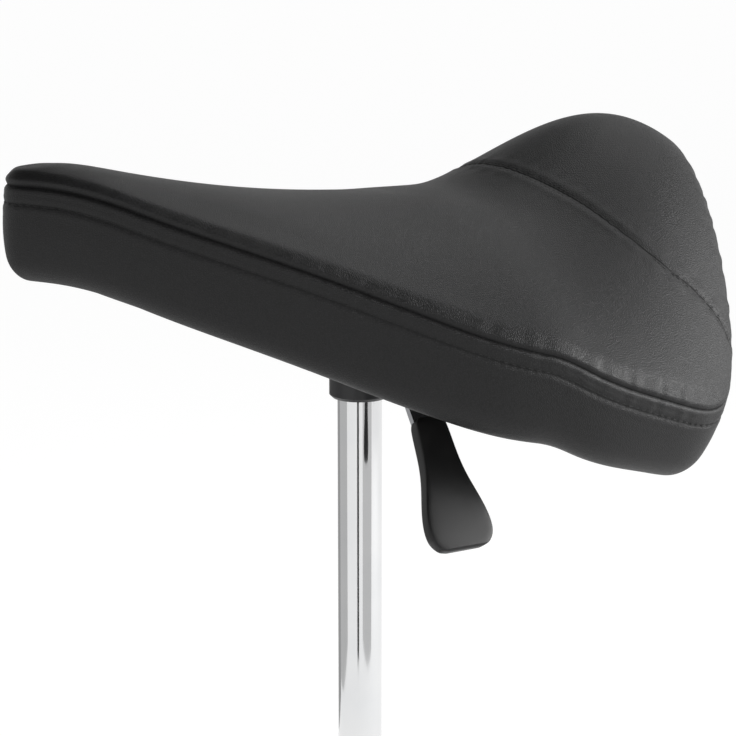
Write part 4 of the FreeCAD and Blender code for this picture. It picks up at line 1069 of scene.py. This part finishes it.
# %% [markdown]
# Soft lamps shape the black cover: a large one over the left and the back lays a broad sheen on the near flank, a
# second at the back right lights the rear wing, and a weak one in front keeps the side band from closing up.

# %% Lamps
SEAT_MIDDLE = Vector((0, 0, 0.66))


def soft_lamp(name, direction, distance, width, height, watts):
    """A rectangular lamp that looks at the seat from a direction."""
    lamp = bpy.data.lights.new(name, "AREA")
    lamp.shape = "RECTANGLE"
    lamp.size, lamp.size_y, lamp.energy = width, height, watts
    holder = bpy.data.objects.new(name, lamp)
    bpy.context.scene.collection.objects.link(holder)
    holder.location = SEAT_MIDDLE + Vector(direction).normalized() * distance
    holder.rotation_euler = (SEAT_MIDDLE - holder.location).to_track_quat("-Z", "Y").to_euler()


soft_lamp("left softbox", (-0.24, 0.5, 0.82), 1.9, 1.5, 1.5, 12)
soft_lamp("right softbox", (0.54, 0.82, 0.24), 2.0, 0.9, 0.9, 42)
soft_lamp("front fill", (0.75, -0.7, 0.25), 2.6, 1.4, 1.4, 6)

# %% [markdown]
# A narrow dark card beside the camera draws the dark line down the chrome, and grey ones give its softer bands. A
# dark ceiling keeps the black cover black. All of them show only in reflections.

# %% Cards for the reflections
def new_emitter(name, grey):
    """A plain even glow of one grey."""
    board = bpy.data.materials.new(name)
    board.use_nodes = True
    board.node_tree.nodes.clear()
    light = add_node(board.node_tree, "Emission", (0, 0))
    light.inputs["Color"].default_value = (grey, grey, grey, 1)
    out = add_node(board.node_tree, "OutputMaterial", (1, 0))
    join(board.node_tree, light.outputs["Emission"], out.inputs["Surface"])
    return board


def card(name, turn, distance, low, high, width, grey):
    """An upright card at a compass turn round the stool, seen only by mirror rays."""
    pick_none()
    bpy.ops.mesh.primitive_plane_add(size=1)
    piece = bpy.context.object
    piece.name = name
    side = math.radians(turn)
    spot = Vector((math.sin(side), -math.cos(side), 0)) * distance
    piece.matrix_world = (Matrix.Translation(spot + Vector((0, 0, (low + high) / 2))) @ Matrix.Rotation(side, 4, "Z")
                          @ Matrix.Rotation(math.pi / 2, 4, "X") @ Matrix.Diagonal((width, high - low, 1, 1)))
    settle(piece)
    piece.visible_camera = False
    piece.visible_diffuse = False
    piece.visible_shadow = False
    dress(piece, new_emitter(name, grey))


CAMERA_TURN, CAMERA_RISE, CAMERA_REACH = 59.0, 12.2, 1.2395
CARD_REACH, CARD_HEIGHT = 0.75, 0.6
CEILING_SIZE, CEILING_HEIGHT, CEILING_GREY = 9, 2.6, 0.04
# Turn from the camera, half width in degrees, and grey of each card
for name, offset, half, grey in (("dark card", -8.6, 4.5, 0.01), ("right card", 39, 24, 0.62),
                                 ("left card", -96, 28, 0.55), ("far left card", -140, 18, 0.36)):
    width = 2 * CARD_REACH * math.tan(math.radians(half))
    card(name, CAMERA_TURN + offset, CARD_REACH, 0.0, CARD_HEIGHT, width, grey)
pick_none()
bpy.ops.mesh.primitive_plane_add(size=CEILING_SIZE, location=(0, 0, CEILING_HEIGHT))
ceiling = bpy.context.object
ceiling.name = "dark ceiling"
settle(ceiling)
ceiling.visible_camera = ceiling.visible_diffuse = ceiling.visible_shadow = False
dress(ceiling, new_emitter("dark ceiling", CEILING_GREY))
print("cards placed")

# %% [markdown]
# The camera stands where the photographer's did: 59 degrees round from the nose and 12 degrees up. The focal length
# follows from the photograph's perspective, worked out for a picture of 736 by 736.

# %% Camera
PICTURE = 736
FOCAL_PIXELS = 1992.0
SHIFT_RIGHT, SHIFT_UP = 8.3 / FOCAL_PIXELS, 22 / FOCAL_PIXELS
turn, rise = math.radians(CAMERA_TURN), math.radians(CAMERA_RISE)
back = Vector((math.sin(turn) * math.cos(rise), -math.cos(turn) * math.cos(rise), math.sin(rise)))
right = Vector((math.cos(turn), math.sin(turn), 0))
up = right.cross(-back)
aim = Vector((0, 0, SEAT_LEVEL * MM))
eye = aim + back * CAMERA_REACH + right * (SHIFT_RIGHT * CAMERA_REACH) + up * (SHIFT_UP * CAMERA_REACH)
camera = bpy.data.objects.new("camera", bpy.data.cameras.new("camera"))
bpy.context.scene.collection.objects.link(camera)
camera.data.sensor_width = 36
camera.data.lens = FOCAL_PIXELS * 36 / PICTURE
camera.data.clip_end = 200
camera.matrix_world = Matrix.Translation(eye) @ Matrix((right, up, back)).transposed().to_4x4()
bpy.context.scene.camera = camera
bpy.context.scene.view_settings.view_transform = "Standard"
print("camera at", [round(value, 3) for value in eye])
